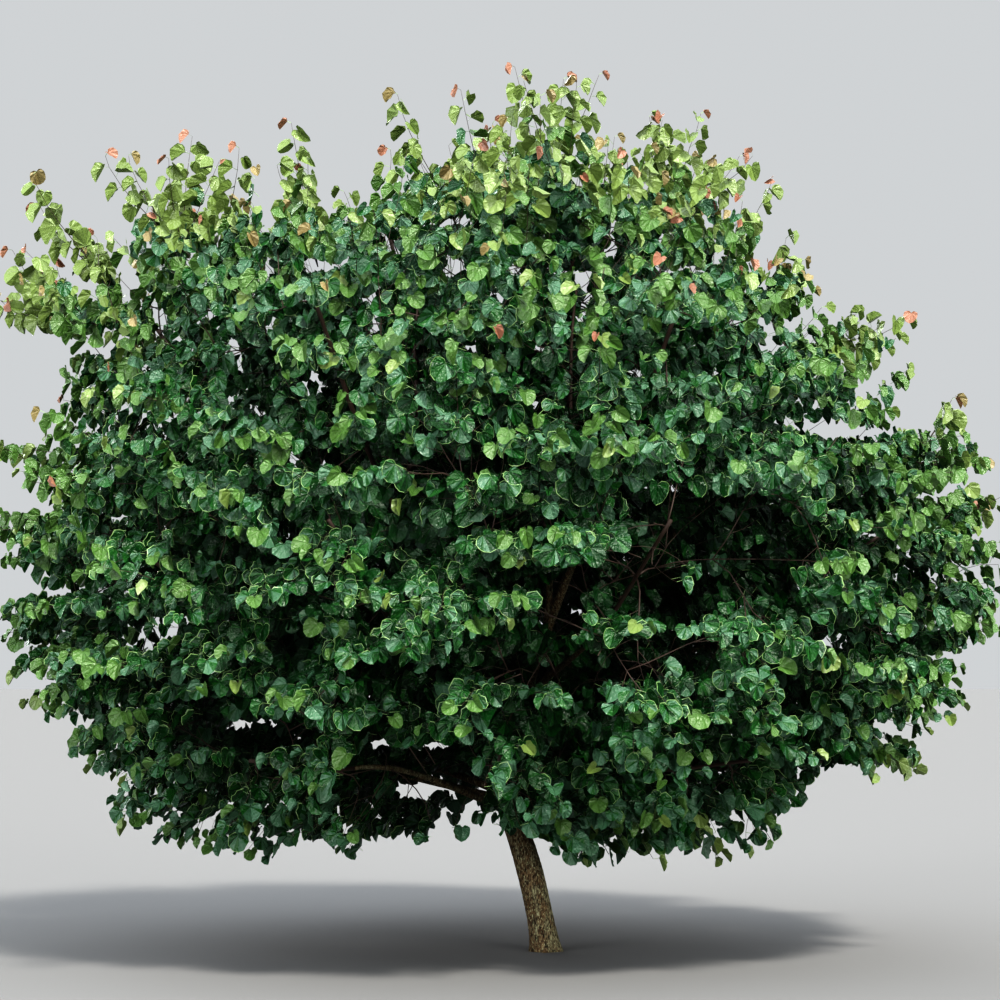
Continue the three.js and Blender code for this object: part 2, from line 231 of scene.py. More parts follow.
def crown_share(points):
    """How far out points lie in the crown: 0 at its centre and 1 on its outline."""
    offset = points - CROWN_CENTRE
    x, y, z = offset[..., 0], offset[..., 1], offset[..., 2]
    aside = np.maximum(np.hypot(x, y), 1e-6)
    middle = (SHOULDER_LEFT + SHOULDER_RIGHT) / 2
    spread = (SHOULDER_LEFT - SHOULDER_RIGHT) / 2
    shape = np.where(z > 0, middle - spread * x / aside, SKIRT_SHAPE)
    across = np.hypot(x / SIDE_REACH, y / DEPTH_REACH)
    rise = RISE - LEFT_SINK * np.clip(-x / LEFT_SLOPE, 0, 1)
    drop = DROP - FRONT_LIFT * (y / aside) ** 2
    along = np.where(z > 0, z / rise, -z / drop)
    return (across**shape + along**shape) ** (1 / shape)


def trunk_axis(height):
    """The trunk's axis at a height, or at several."""
    height = np.asarray(height, float)
    return np.stack(
        [-height * (LEAN_START + LEAN_GAIN * height), 0 * height, height], axis=-1
    )


# ---- Limbs, as in the CAD source ----


def place_masses():
    """The foliage masses, tier by tier, each with its middle."""
    masses = []
    for row in TIERS:
        for i, name in enumerate(row["names"]):
            turn = row["turn"] + 360 / len(row["names"]) * i
            way = direction(turn, row["tilt"])
            reach = MASS_REACH / crown_share(CROWN_CENTRE + way * MASS_REACH)
            masses.append(
                {
                    "tier": row["tier"],
                    "name": f"{row['tier']}_{name}",
                    "turn": math.radians(turn),
                    "tip": row["tip"],
                    "middle": CROWN_CENTRE + way * row["share"] * reach,
                    "index": len(masses),
                }
            )
    return masses


def make_bough(mass, leaders):
    """The bough that carries a mass: its curve and its radii."""
    rule = BOUGHS[mass["tier"]]
    if "parent" in rule:
        parent = max(leaders, key=lambda bough: math.cos(bough["mass"]["turn"] - mass["turn"]))
        start = parent["curve"].at(rule["at"])
    else:
        height = rule["at"] - rule["stagger"] * ((mass["index"] + 1) % 3)
        start = trunk_axis(height * TRUNK_TOP)
    end = mix(trunk_axis(FORK_HEIGHT), mass["middle"], mass["tip"])
    out = unit((end - start) * (1, 1, 0))
    curve = limb_curve(start, end, out + UP * rule["set_out"], out + UP * rule["end"])
    return {"mass": mass, "curve": curve, "root": rule["root"], "tip": rule["tip"]}


masses = place_masses()
boughs = []
for mass in masses:
    leaders = [bough for bough in boughs if bough["mass"]["tier"] == "shoulder"]
    boughs.append(make_bough(mass, leaders))
middles = np.array([mass["middle"] for mass in masses])

AXIS_POINTS = 120  # how many points of each limb's axis are kept
shares = np.linspace(0, 1, AXIS_POINTS)
limb_points = [trunk_axis(shares * TRUNK_TOP)]
limb_radii = [np.full(AXIS_POINTS, TRUNK_FOOT_RADIUS)]
limb_travel = [shares * TRUNK_TOP]
for bough in boughs:
    limb_points.append(bough["curve"].at(shares))
    limb_radii.append(mix(bough["root"], bough["tip"], shares))
    limb_travel.append(TRUNK_TOP + shares * bough["curve"].length)
limb_points = np.concatenate(limb_points)
limb_radii = np.concatenate(limb_radii)
limb_travel = np.concatenate(limb_travel)
limb_tree = search_tree(limb_points)


def clear_of_limbs(point, margin):
    """True if a point is clear of the trunk and every bough."""
    _, i, distance = limb_tree.find(point)
    return distance > limb_radii[i] + margin


# ---- Where twigs and leaves may grow ----

# How far out the crown is dense on its left and right, as (elevation in degrees, crown share).
LEFT_LIMITS = [
    (-45, 0.93), (-30, 0.94), (-22, 0.86), (-8, 0.93), (10, 0.98), (17, 0.95), (23, 0.84),
    (28, 0.86), (33, 0.97), (46, 0.89), (56, 0.81), (66, 0.77), (76, 0.79), (90, 0.8),
]  # fmt: skip
RIGHT_LIMITS = [
    (-45, 0.97), (-37, 0.88), (-27, 0.89), (-18, 0.88), (-5, 0.91), (11, 0.96), (21, 0.93),
    (30, 0.86), (50, 0.86), (66, 0.87), (75, 0.81), (90, 0.8),
]  # fmt: skip
OUTERMOST = (1.02, 1.07)  # the crown shares past which no leaf goes, low down and on top
OUTERMOST_RISE = (1, 2)  # the heights above the crown's centre between which that changes

# The crown's drooping layers of foliage, with gaps between them.
LAYER_SPACING = 0.4
LAYER_SHARE = 0.74
LAYER_DROOP = 0.34
LAYER_WAVE = 0.45
WAVE_SCALE = 1.1
LAYERS_UP_TO = 48  # degrees of elevation

# Hollows in the crown's front, and slots in front of its upright limbs: x and z of the middle and
# half the width and height, all seen on the plane y = 0, and the y behind which leaves stay.
HOLLOWS = [
    (0.8, 2.18, 0.4, 0.12, -1), (1.06, 1.93, 0.3, 0.1, -1), (0.37, 1.86, 0.36, 0.1, -0.8),
    (0.1, 1.4, 0.5, 0.12, -0.8), (0.08, 1.69, 0.14, 0.16, -0.5), (-1.47, 1.07, 0.4, 0.11, -0.6),
    (-0.67, 0.8, 0.4, 0.22, -0.35), (-0.635, 2.88, 0.045, 0.32, -1), (0.14, 2.93, 0.05, 0.34, -1),
    (-1.05, 2.43, 0.3, 0.07, -1), (-0.4, 2.41, 0.36, 0.07, -1), (-0.17, 2.12, 0.27, 0.06, -0.9),
    (0.6, 1.98, 0.28, 0.08, -1), (0.62, 1.5, 0.32, 0.08, -0.8),
]  # fmt: skip

# Where the crown is open right through: under the lowest left bough, and where sky shows.
WINDOWS = [
    (-0.82, 1.02, 0.09, 0.05), (-0.54, 1.015, 0.1, 0.05), (-0.58, 0.8, 0.18, 0.06),
    (1.5, 2.58, 0.2, 0.06), (1.62, 2.06, 0.09, 0.04), (-1.15, 3.42, 0.09, 0.06),
    (-0.46, 3.64, 0.1, 0.04), (-1.55, 3.02, 0.05, 0.06), (1.2, 0.63, 0.08, 0.1),
    (-1.4, 3.74, 0.06, 0.16), (-1, 3.92, 0.07, 0.12), (-0.57, 4.02, 0.06, 0.12),
]  # fmt: skip
GAP_SCALE = 7.5
GAP_LEVELS = (2.5, 3.4)  # small gaps show the sky from the first height upwards, most from the second
GAPS_FROM = (0.6, 0.22)  # a gap is where the noise is over these, at those heights
GAP_MARGIN = 0.05  # how far inside the dense outline the gaps lie

# The crown's lower edge, as the lowest (x, z) of its leaves seen from the front.
HEM = [
    (-2.62, 1.05), (-2.42, 1), (-2.27, 0.8), (-2.24, 0.61), (-1.97, 0.58), (-1.85, 0.5), (-1.74, 0.44),
    (-1.35, 0.44), (-1.28, 0.54), (-1.06, 0.56), (-1.02, 0.48), (-0.94, 0.48), (-0.87, 0.58),
    (-0.6, 0.54), (-0.56, 0.68), (-0.49, 0.71), (-0.46, 0.55), (-0.35, 0.59), (0, 0.6), (0.03, 0.47),
    (0.25, 0.42), (0.4, 0.49), (0.57, 0.42), (0.72, 0.52), (0.9, 0.41), (1.22, 0.39), (1.26, 0.77),
    (1.35, 0.93), (1.52, 0.93), (1.67, 0.82), (1.76, 0.78), (1.8, 0.87), (1.97, 0.88), (2.1, 1.17),
]  # fmt: skip


def dense_limit(points):
    """How far out the crown is dense, as a share of its outline, in the direction of each point."""
    offset = points - CROWN_CENTRE
    aside = np.maximum(np.hypot(offset[..., 0], offset[..., 1]), 1e-6)
    elevation = np.degrees(np.arctan2(offset[..., 2], aside))
    left = np.interp(elevation, *zip(*LEFT_LIMITS))
    right = np.interp(elevation, *zip(*RIGHT_LIMITS))
    return mix(left, right, (1 + offset[..., 0] / aside) / 2)


def in_layer(points):
    """True for points in one of the crown's drooping layers, and everywhere in its top."""
    offset = points - CROWN_CENTRE
    aside = np.hypot(offset[:, 0], offset[:, 1])
    wave = LAYER_WAVE * noise_at(offset, WAVE_SCALE)
    level = (offset[:, 2] + LAYER_DROOP * aside + wave) / LAYER_SPACING
    top = offset[:, 2] > aside * math.tan(math.radians(LAYERS_UP_TO))
    return (level % 1 < LAYER_SHARE) | top


def through_front(points):
    """Where the sight lines from the camera to points cross the plane y = 0, as x and z."""
    eye = np.array(CAMERA_PLACE)
    share = -eye[1] / (points[..., 1] - eye[1])
    return mix(eye[0], points[..., 0], share), mix(eye[2], points[..., 2], share)


def seen_at(x, z, depth):
    """The point at y = depth that the camera sees at x and z on the plane y = 0."""
    eye = np.array(CAMERA_PLACE)
    share = 1 - depth / eye[1]
    return np.array([mix(eye[0], x, share), depth, mix(eye[2], z, share)])


def in_ellipse(x, z, middle_x, middle_z, half_width, half_height):
    """True for places inside an ellipse, seen on the plane y = 0."""
    return np.hypot((x - middle_x) / half_width, (z - middle_z) / half_height) < 1


def in_window(points):
    """True for points that would show in one of the crown's windows or under its lower edge."""
    x, z = through_front(points)
    inside = z < np.interp(x, *zip(*HEM))
    for window in WINDOWS:
        inside |= in_ellipse(x, z, *window)
    return inside


def in_sky_gap(points):
    """True for points in small gaps between the upper shoots that show the sky from the front."""
    x, z = through_front(points)
    flat = np.stack([x, 0 * x, z], axis=-1)
    within = crown_share(flat) < dense_limit(flat) - GAP_MARGIN
    return within & (noise_at(flat, GAP_SCALE) > mix(*GAPS_FROM, smooth_step(z, *GAP_LEVELS)))


def left_open(points):
    """True for points in a gap or window, or in a hollow of the crown's front."""
    x, z = through_front(points)
    inside = in_window(points) | in_sky_gap(points)
    for *hollow, depth in HOLLOWS:
        inside |= in_ellipse(x, z, *hollow) & (points[..., 1] < depth)
    return inside


# ---- Twigs ----
#
# A pair marked "by slope" holds the values for the crown's sides and for its steep top. A pair
# marked "span" holds a start and how far random values go on from it. Where a direction is made of
# a few others, a value says how much of each it takes.

# Growth droops low down and is steep on top: its tilt in degrees, for the elevation of its place.
GROWTH_TILT = 4
GROWTH_TILT_GAIN = 1.35
GROWTH_TILT_LIMITS = (-28, 82)
NEARLY_UPRIGHT = 0.8  # above this rise, a spray lies in a plane that faces outwards
OUTWARD_TILT = 0.2  # how much that plane faces up

# Branches, each to its own place in the outer part of its mass's space.
BRANCHES_PER_MASS = 40
CLOUD_POINTS = 6000  # how many places are looked at for each mass
TRIES = 40
SHELL_INSIDE = 0.22
SHELL_MARGIN = 0.06  # how far inside the dense crown the branches end
BRANCH_CLEARANCE = 0.06  # how far from the limbs they end
LAYERING = 1.6  # how much further apart branches are than they lie above one another
CLUMP_SCALE = 2.4
CLUMP_FROM = -0.16  # branches end only where the crown's clumps are denser than this
BRANCH_SHARE = 0.5  # its radius, as a share of its limb's
BRANCH_LEAST_RADIUS = 0.0032
BRANCH_TIP_RADIUS = 0.0024
BRANCH_SIDES = 5
BRANCH_RING_SPACING = 0.09
BRANCH_ALONG = 0.5  # how much of its limb's direction it keeps as it leaves
BRANCH_RISE = 0.35
BRANCH_TOWARD = 0.5  # how much of the straight way there it keeps as it arrives
BRANCH_STRAY = 0.4
LIMB_STEPS = 12  # how many steps the curve of a branch has
STEM_SIDES = 8
STEM_STEPS = 16
STEM_RINGS = 9

# Shoots along each branch, in a flat spray.
SPRAY_SLOPES = (20, 65)  # elevations in degrees between which the sides change to the top
SPRAY_TONES = 0.2
SHOOTS_FROM = 0.34  # the share of a branch from which shoots stand along it
FIRST_SHOOT = (0.8, 0.4)  # span, as a share of that
SHOOT_SPACING = 0.06
SHOOT_LENGTH = 0.34
SHOOT_TAPER = (1.15, 0.5)  # the length's share at the branch's root, and how much is lost by its tip
SHOOT_LENGTHS = (0.7, 0.6)  # span
SHOOT_ANGLE = 52
SHOOT_ANGLE_SWING = 14
SHOOT_LIFT = 0.7
SHOOT_DROOP = (0.45, -0.7)  # by slope
SHOOT_DROOP_SWING = 0.8
SHOOT_AHEAD = 0.7
SHOOT_ACROSS = 0.45
SHOOT_OUTWARD = 0.5
SHOOT_STRAY = 0.22
SHOOT_RADIUS = 0.0021
SHOOT_TIP_RADIUS = 0.0009
SHOOT_SIDES = 3
NODE_SPACING = 0.043
ZIGZAG = 0.0025  # how far a shoot's joints lie to each side of it
LEAST_RINGS = 3  # the fewest points of a branch or shoot

# The last shoot, which carries the branch on. Some of them are long and leave the dense crown.
LONG_SHOOTS = (0.2, 0.5)  # the share of branches that end in one, low down and on top
LONG_SLOPES = (0, 35)  # the elevations between which that changes
LONG_REACH = 0.15  # how far out of the dense crown they may go, in crown shares
LAST_LENGTH = (0.32, 0.3)  # span, twice as wide on top
LAST_DROOP = (0.3, -0.9)  # by slope
LAST_OUTWARD = 0.6
LAST_TONE = 0.1

# Leaves along a shoot.
LEAF_SLOPES = (15, 65)  # elevations, as for sprays
LEAF_LENGTH = 0.078
LAST_LEAF = 0.7  # the size of the last leaf of a shoot
LAST_LEAVES = 5  # the more, the fewer leaves before it are smaller too
LEAF_SIZES = (0.84, 0.34)  # span
LEAF_HANG = 0.85
LEAF_ACROSS = (0.6, 0.9)  # by slope
LEAF_OUTWARD = (0.65, 0.25)  # by slope
LEAF_STRAY = 0.8
LEAF_TURN = (34, 55)  # by slope, in degrees
FACE_UP = (0.45, 0.8)  # by slope
FACE_ACROSS = 0.2
LEAF_FOLD = (12, 24)  # by slope, in degrees
FOLD_SPREAD = 36
OLD_FOLD = 10
LEAF_SKEW = 13
LEAF_BEND = 0.05
BEND_SPREAD = 0.4
BEND_POWER = 1.5
LEAF_CUP = (-0.1, 0.55)  # span
TONES = 0.42
STALK_LENGTH = 0.04
STALK_ACROSS = 0.9
STALK_ALONG = 0.35
STALK_UP = 0.25
STALK_STRAY = 0.3
LEAF_ROOM = 0.0235  # how far apart leaves are at least
LEAF_MIDDLE = 0.4  # where its room is measured from, as a share of its length

# Tips of shoots that stand out of the outline seen from the front, as (x, z).
STANDING_SHOOTS = [
    (-2.68, 3.24), (-2.7, 3.52), (-2.5, 3.8), (-2.1, 3.98), (-1.8, 4.12), (-1.52, 3.98),
    (-1.27, 4.13), (-0.72, 4.17), (-0.42, 4.3), (-0.15, 4.38), (0.27, 4.37), (0.55, 4.22),
    (1, 4.02), (1.22, 3.57), (1.62, 3.17), (2.07, 2.77), (2.25, 2.28), (1.22, 0.41),
]  # fmt: skip
STANDING_GROUP = [(1, 0), (0.8, 0.3), (0.6, 0.4)]  # each one's share of the length, and its stray
STANDING_DEPTHS = 0.3
STANDING_HEIGHTS = 0.2  # how far the group strays up and down, as a share of its stray aside
STANDING_ROOTS = (1, 0.6, 1)  # how much x, y and z count towards which branch's end is nearest
STANDING_LEAVING = 0.5
STANDING_ARRIVING = 0.6
STANDING_SWAY = 0.5
STANDING_SPACING = 0.05
STANDING_RADIUS = 1.5 * SHOOT_RADIUS
STANDING_VIGOUR = 1.18
STANDING_TURN = 1.4
STANDING_TONE = 0.15
STANDING_REACH = 1  # how far out of the dense crown they may go, in crown shares

# Upright branches that show between the front's leaves, as x and z of foot and tip seen on y = 0.
LEADERS = [(0.13, 2.55, 0.16, 3.3), (-0.63, 2.5, -0.64, 3.2)]
LEADER_DEPTH = -1.0  # their y
LEADER_LEAN = (0.15, 0, 0)
LEADER_RADIUS = 0.016
LEADER_TIP_RADIUS = 0.006
MOST_IN_GAP = 0.3  # a shoot with more of its length in a gap is left out
MOST_IN_WINDOW = 0.25  # a twig with more of its length in a window is left out


def growth_way(point):
    """How growth goes near a point, the level way out to it, and its elevation in degrees."""
    offset = point - CROWN_CENTRE
    aside = np.hypot(offset[0], offset[1])
    out = unit(np.array([offset[0], offset[1], 0]))
    elevation = math.degrees(math.atan2(offset[2], aside))
    tilt = GROWTH_TILT + GROWTH_TILT_GAIN * elevation
    tilt = math.radians(np.clip(tilt, *GROWTH_TILT_LIMITS))
    return out * math.cos(tilt) + UP * math.sin(tilt), out, elevation


def spray_plane(ahead, out):
    """The direction in which a flat spray faces: up, or outwards where it grows nearly upright."""
    if abs(ahead @ UP) < NEARLY_UPRIGHT:
        return unit(UP - ahead * (UP @ ahead))
    return unit(-out + OUTWARD_TILT * UP)


def branch_ends(mass, others, random):
    """Points spread evenly through the outer part of a mass's space, for its branches to grow to."""
    cloud = mass["middle"] + swing(random, 2 * MASS_REACH, (CLOUD_POINTS, 3))
    share = crown_share(cloud)
    within = (share > SHELL_INSIDE) & (share < dense_limit(cloud) - SHELL_MARGIN)
    cloud = cloud[within & in_layer(cloud)]
    cloud = cloud[noise_at(cloud, CLUMP_SCALE) > CLUMP_FROM]
    apart = np.linalg.norm(cloud[:, None] - middles[None], axis=2)
    cloud = cloud[apart.argmin(axis=1) == mass["index"]]
    cloud = np.array([point for point in cloud if clear_of_limbs(point, BRANCH_CLEARANCE)])
    way, out, _ = growth_way(mass["middle"])
    layer = np.cross(np.cross(out, UP), way)
    ends = []
    for _ in range(BRANCHES_PER_MASS):
        picks = cloud[random.integers(len(cloud), size=TRIES)]
        taken = np.array(others + ends)
        if len(taken) == 0:
            ends.append(picks[0])
            continue
        gaps = picks[:, None] - taken[None]
        lift = (gaps @ layer)[..., None] * layer
        room = np.linalg.norm(gaps - lift + lift * LAYERING, axis=2).min(axis=1)
        ends.append(picks[room.argmax()])
    return ends


twigs = []  # every stem, branch and shoot, as (mass, points, radii, sides)
leaves = defaultdict(list)


def shoot_path(start, leaving, arriving, length, random):
    """Points a leaf's spacing apart along a shoot that turns from one direction to another."""
    count = max(2, int(length / NODE_SPACING))
    share = np.linspace(0, 1, count)[:, None]
    ways = unit(mix(leaving, arriving, share) + swing(random, SHOOT_STRAY, (count, 3)))
    return np.concatenate([start[None], start + np.cumsum(ways * NODE_SPACING, axis=0)])


def grow_shoot(mass, points, plane, limit, tone, random, radius=SHOOT_RADIUS, vigour=1):
    """A shoot along points, which ends where it would leave the crown, with its leaves."""
    ways = unit(np.diff(points, axis=0))
    points[1:] += unit(np.cross(ways, plane)) * two_sides(len(ways)) * ZIGZAG
    inside = crown_share(points) < dense_limit(points) + limit
    last = len(points) if inside.all() else int(np.argmin(inside))
    if last < LEAST_RINGS:
        return
    points = points[:last]
    twigs.append((mass, points, np.linspace(radius, SHOOT_TIP_RADIUS, last), SHOOT_SIDES))
    grow_leaves(mass, points, plane, tone, random, vigour)


def grow_leaves(mass, points, plane, tone, random, vigour):
    """Leaves in two ranks along the shoot that has just grown."""
    ways = unit(np.diff(points, axis=0))
    nodes = points[1:]
    count = len(nodes)
    age = np.arange(count) / max(count - 1, 1)
    _, out, elevation = growth_way(nodes[-1])
    steep = smooth_step(elevation, *LEAF_SLOPES)
    across = unit(np.cross(ways, plane)) * two_sides(count)
    jitter = swing(random, 1, (count, 3))
    along = unit(
        -UP * LEAF_HANG / vigour
        + across * mix(*LEAF_ACROSS, steep)
        + out * mix(*LEAF_OUTWARD, steep)
        + jitter * LEAF_STRAY
    )
    turned = np.radians(mix(*LEAF_TURN, steep) * random.standard_normal(count))[:, None]
    jitter = swing(random, 1, (count, 3))
    outward = out * np.cos(turned) + unit(np.cross(UP, out)) * np.sin(turned)
    face = outward + UP * mix(*FACE_UP, steep) + across * FACE_ACROSS + jitter
    size = vigour * LEAF_LENGTH * mix(1.0, LAST_LEAF, age**LAST_LEAVES)
    size = size * drawn(random, LEAF_SIZES, count)
    stalk = across * STALK_ACROSS + ways * STALK_ALONG + UP * STALK_UP + jitter * STALK_STRAY
    stalk = unit(stalk) * STALK_LENGTH * ((size / LEAF_LENGTH)[:, None] / vigour**3)
    traits = {
        "from": nodes,
        "base": nodes + stalk,
        "along": along,
        "face": unit(face - along * (face * along).sum(axis=1, keepdims=True)),
        "size": size,
        "fold": np.radians(
            mix(*LEAF_FOLD, steep) + FOLD_SPREAD * random.random(count) + OLD_FOLD * age**2
        ),
        "skew": np.radians(LEAF_SKEW * random.standard_normal(count)),
        "bend": LEAF_BEND + BEND_SPREAD * random.random(count) ** BEND_POWER,
        "cup": drawn(random, LEAF_CUP, count),
        "tone": tone + swing(random, TONES, count),
        "age": age,
        "mass": np.full(count, mass["index"]),
        "twig": np.full(count, len(twigs) - 1),
        "node": np.arange(count) + 1,
    }
    for trait, values in traits.items():
        leaves[trait].append(values)


def grow_spray(mass, joint, end, random):
    """A branch from a joint to its end, with shoots along it in a flat spray."""
    way, out, elevation = growth_way(end)
    steep = smooth_step(elevation, *SPRAY_SLOPES)
    toward = unit(end - joint["point"])
    leaving = unit(joint["way"] * BRANCH_ALONG + toward + UP * BRANCH_RISE)
    arriving = unit(way + toward * BRANCH_TOWARD + swing(random, BRANCH_STRAY, 3))
    curve = limb_curve(joint["point"], end, leaving, arriving, LIMB_STEPS)
    root = max(BRANCH_SHARE * joint["radius"], BRANCH_LEAST_RADIUS)
    rings = max(LEAST_RINGS, int(curve.length / BRANCH_RING_SPACING)) + 1
    shares = np.linspace(0, 1, rings)
    twigs.append((mass, curve.at(shares), mix(root, BRANCH_TIP_RADIUS, shares), BRANCH_SIDES))
    spray_tone = swing(random, SPRAY_TONES)
    first = SHOOTS_FROM * drawn(random, FIRST_SHOOT)
    places = np.arange(first * curve.length, curve.length, SHOOT_SPACING) / curve.length
    side = 1 if random.random() < 0.5 else -1
    for place in places:
        side = -side
        ahead = curve.way(place)
        plane = spray_plane(ahead, out)
        across = np.cross(ahead, plane) * side
        angle = math.radians(SHOOT_ANGLE + swing(random, SHOOT_ANGLE_SWING))
        lift = plane * SHOOT_LIFT * random.random()
        leaving = unit(ahead * math.cos(angle) + across * math.sin(angle) + lift)
        droop = mix(*SHOOT_DROOP, steep) + swing(random, SHOOT_DROOP_SWING)
        arriving = unit(
            ahead * SHOOT_AHEAD + across * SHOOT_ACROSS + way * SHOOT_OUTWARD - UP * droop
        )
        length = SHOOT_LENGTH * (SHOOT_TAPER[0] - SHOOT_TAPER[1] * place)
        length *= drawn(random, SHOOT_LENGTHS)
        path = shoot_path(curve.at(place), leaving, arriving, length, random)
        grow_shoot(mass, path, plane, 0, spray_tone, random)
    ahead = curve.way(1.0)
    long_shoot = random.random() < mix(*LONG_SHOOTS, smooth_step(elevation, *LONG_SLOPES))
    reach = LONG_REACH * random.random() if long_shoot else 0
    droop = mix(*LAST_DROOP, steep)
    length = LAST_LENGTH[0] + LAST_LENGTH[1] * random.random() * (1 + steep)
    path = shoot_path(end, ahead, unit(ahead + way * LAST_OUTWARD - UP * droop), length, random)
    tone = spray_tone + LAST_TONE
    grow_shoot(mass, path, spray_plane(ahead, out), reach, tone, random, BRANCH_TIP_RADIUS)
    return curve, root


def joint_at(curve, share, root, tip):
    """Where a branch may leave a limb that goes from its root's radius to its tip's."""
    return {"point": curve.at(share), "way": curve.way(share), "radius": mix(root, tip, share)}


def grow_mass(bough, others):
    """The stem that carries a bough on, with branches to ends that it adds to the others."""
    mass = bough["mass"]
    random = np.random.default_rng(SEED * (mass["index"] + 1))
    start = bough["curve"].at(1.0)
    heading = bough["curve"].way(1.0)
    stem = limb_curve(start, mass["middle"], heading, mass["middle"] - start, STEM_STEPS)
    shares = np.linspace(0, 1, STEM_RINGS)
    radii = mix(bough["tip"], STEM_TIP_RADIUS, shares)
    twigs.append((mass, stem.at(shares), radii, STEM_SIDES))
    joints = [joint_at(stem, share, bough["tip"], STEM_TIP_RADIUS) for share in STEM_JOINTS]
    ends = branch_ends(mass, others, random)
    others += ends
    for end in sorted(ends, key=lambda point: np.linalg.norm(point - start)):
        joint = min(joints, key=lambda one: np.linalg.norm(one["point"] - end))
        curve, root = grow_spray(mass, joint, end, random)
        joints.append(joint_at(curve, TWIG_JOINT, root, BRANCH_TIP_RADIUS))


def grow_standing(x, z, all_ends, owners, random):
    """A small group of long shoots from the nearest branch's end to a tip on the outline."""
    top = np.array([x, swing(random, STANDING_DEPTHS), z])
    nearest = np.linalg.norm((all_ends - top) * STANDING_ROOTS, axis=1).argmin()
    start = all_ends[nearest]
    way, _, _ = growth_way(top)
    for share, stray in STANDING_GROUP:
        tip = mix(start, top, share) + swing(random, 1, 3) * (stray, 1, STANDING_HEIGHTS * stray)
        toward = unit(tip - start)
        arriving = toward + UP * STANDING_ARRIVING + swing(random, STANDING_SWAY, 3)
        curve = limb_curve(start, tip, toward + way * STANDING_LEAVING, arriving)
        count = max(LEAST_RINGS + 1, int(curve.length / STANDING_SPACING))
        turn = swing(random, STANDING_TURN)
        grow_shoot(
            owners[nearest],
            curve.at(np.linspace(0, 1, count)),
            unit(np.array([math.sin(turn), -math.cos(turn), OUTWARD_TILT])),
            STANDING_REACH,
            STANDING_TONE,
            random,
            STANDING_RADIUS,
            STANDING_VIGOUR,
        )


def grow_leader(foot, tip, all_ends, owners):
    """An upright branch from the nearest limb through its foot to its tip."""
    start = limb_points[limb_tree.find(foot)[1]]
    lower = limb_curve(start, foot, foot - start + UP, UP, LIMB_STEPS)
    upper = limb_curve(foot, tip, UP, UP + LEADER_LEAN, LIMB_STEPS)
    points = np.concatenate([lower.points, upper.points[1:]])
    owner = owners[np.linalg.norm(all_ends - tip, axis=1).argmin()]
    radii = np.linspace(LEADER_RADIUS, LEADER_TIP_RADIUS, len(points))
    twigs.append((owner, points, radii, STEM_SIDES))


def keep_room():
    """Which leaves stay: those with room from each other and the limbs, outside the gaps."""
    centres = leaves["base"] + leaves["along"] * leaves["size"][:, None] * LEAF_MIDDLE
    tips = leaves["base"] + leaves["along"] * leaves["size"][:, None]
    rise = smooth_step(tips[:, 2] - CROWN_CENTRE[2], *OUTERMOST_RISE)
    hidden = left_open(centres) | (crown_share(tips) > mix(*OUTERMOST, rise))
    tree = search_tree(centres)
    kept = np.zeros(len(centres), bool)
    for i, centre in enumerate(centres):
        if hidden[i] or not clear_of_limbs(centre, LIMB_MARGIN):
            continue
        kept[i] = not any(kept[j] for _, j, _ in tree.find_range(centre, LEAF_ROOM) if j != i)
    return kept


def trimmed(twig, last):
    """A twig as it stays: a shoot ends at its last leaf. None if it is left out."""
    mass, points, radii, sides = twig
    if sides == SHOOT_SIDES:
        if not last:
            return None
        rings = np.unique([*range(0, last, 2), last])
        points, radii = points[rings], radii[rings]
        if np.mean(in_sky_gap(points)) >= MOST_IN_GAP:
            return None
    if np.mean(in_window(points)) >= MOST_IN_WINDOW:
        return None
    return mass, points, radii, sides


all_ends = []
for bough in boughs:
    grow_mass(bough, all_ends)
all_ends = np.array(all_ends)
owners = [mass for mass in masses for _ in range(BRANCHES_PER_MASS)]
random = np.random.default_rng(SEED)
for x, z in STANDING_SHOOTS:
    grow_standing(x, z, all_ends, owners, random)
for foot_x, foot_z, tip_x, tip_z in LEADERS:
    foot = seen_at(foot_x, foot_z, LEADER_DEPTH)
    grow_leader(foot, seen_at(tip_x, tip_z, LEADER_DEPTH), all_ends, owners)

leaves = {trait: np.concatenate(parts) for trait, parts in leaves.items()}
kept = keep_room()
leaves = {trait: part[kept] for trait, part in leaves.items()}
last_leaves = np.zeros(len(twigs), int)
np.maximum.at(last_leaves, leaves["twig"], leaves["node"])
twigs = [trimmed(twig, last) for twig, last in zip(twigs, last_leaves)]
twigs = [twig for twig in twigs if twig]

# ---- Meshes ----

TUBE_SIDE = (0.31, 0.87, 0.38)  # a direction along no limb, from which a tube's first ring starts


def mesh_piece(name, points, triangles, slots, materials, places=None, smooth=True):
    """An object of triangles, each with the number of its material, and texture coordinates."""
    mesh = bpy.data.meshes.new(name)
    mesh.vertices.add(len(points))
    mesh.vertices.foreach_set("co", np.asarray(points, np.float32).ravel())
    mesh.loops.add(3 * len(triangles))
    mesh.loops.foreach_set("vertex_index", np.asarray(triangles, np.int32).ravel())
    mesh.polygons.add(len(triangles))
    mesh.polygons.foreach_set("loop_start", np.arange(0, 3 * len(triangles), 3, dtype=np.int32))
    for material in materials:
        mesh.materials.append(material)
    mesh.polygons.foreach_set("material_index", np.asarray(slots, np.int32))
    mesh.polygons.foreach_set("use_smooth", np.full(len(triangles), smooth))
    if places is not None:
        layer = mesh.uv_layers.new(name="leaf_place")
        layer.data.foreach_set("uv", np.asarray(places[triangles.ravel()], np.float32).ravel())
    mesh.update(calc_edges=True)
    mesh.validate()
    piece = bpy.data.objects.new(name, mesh)
    bpy.context.scene.collection.objects.link(piece)
    return piece


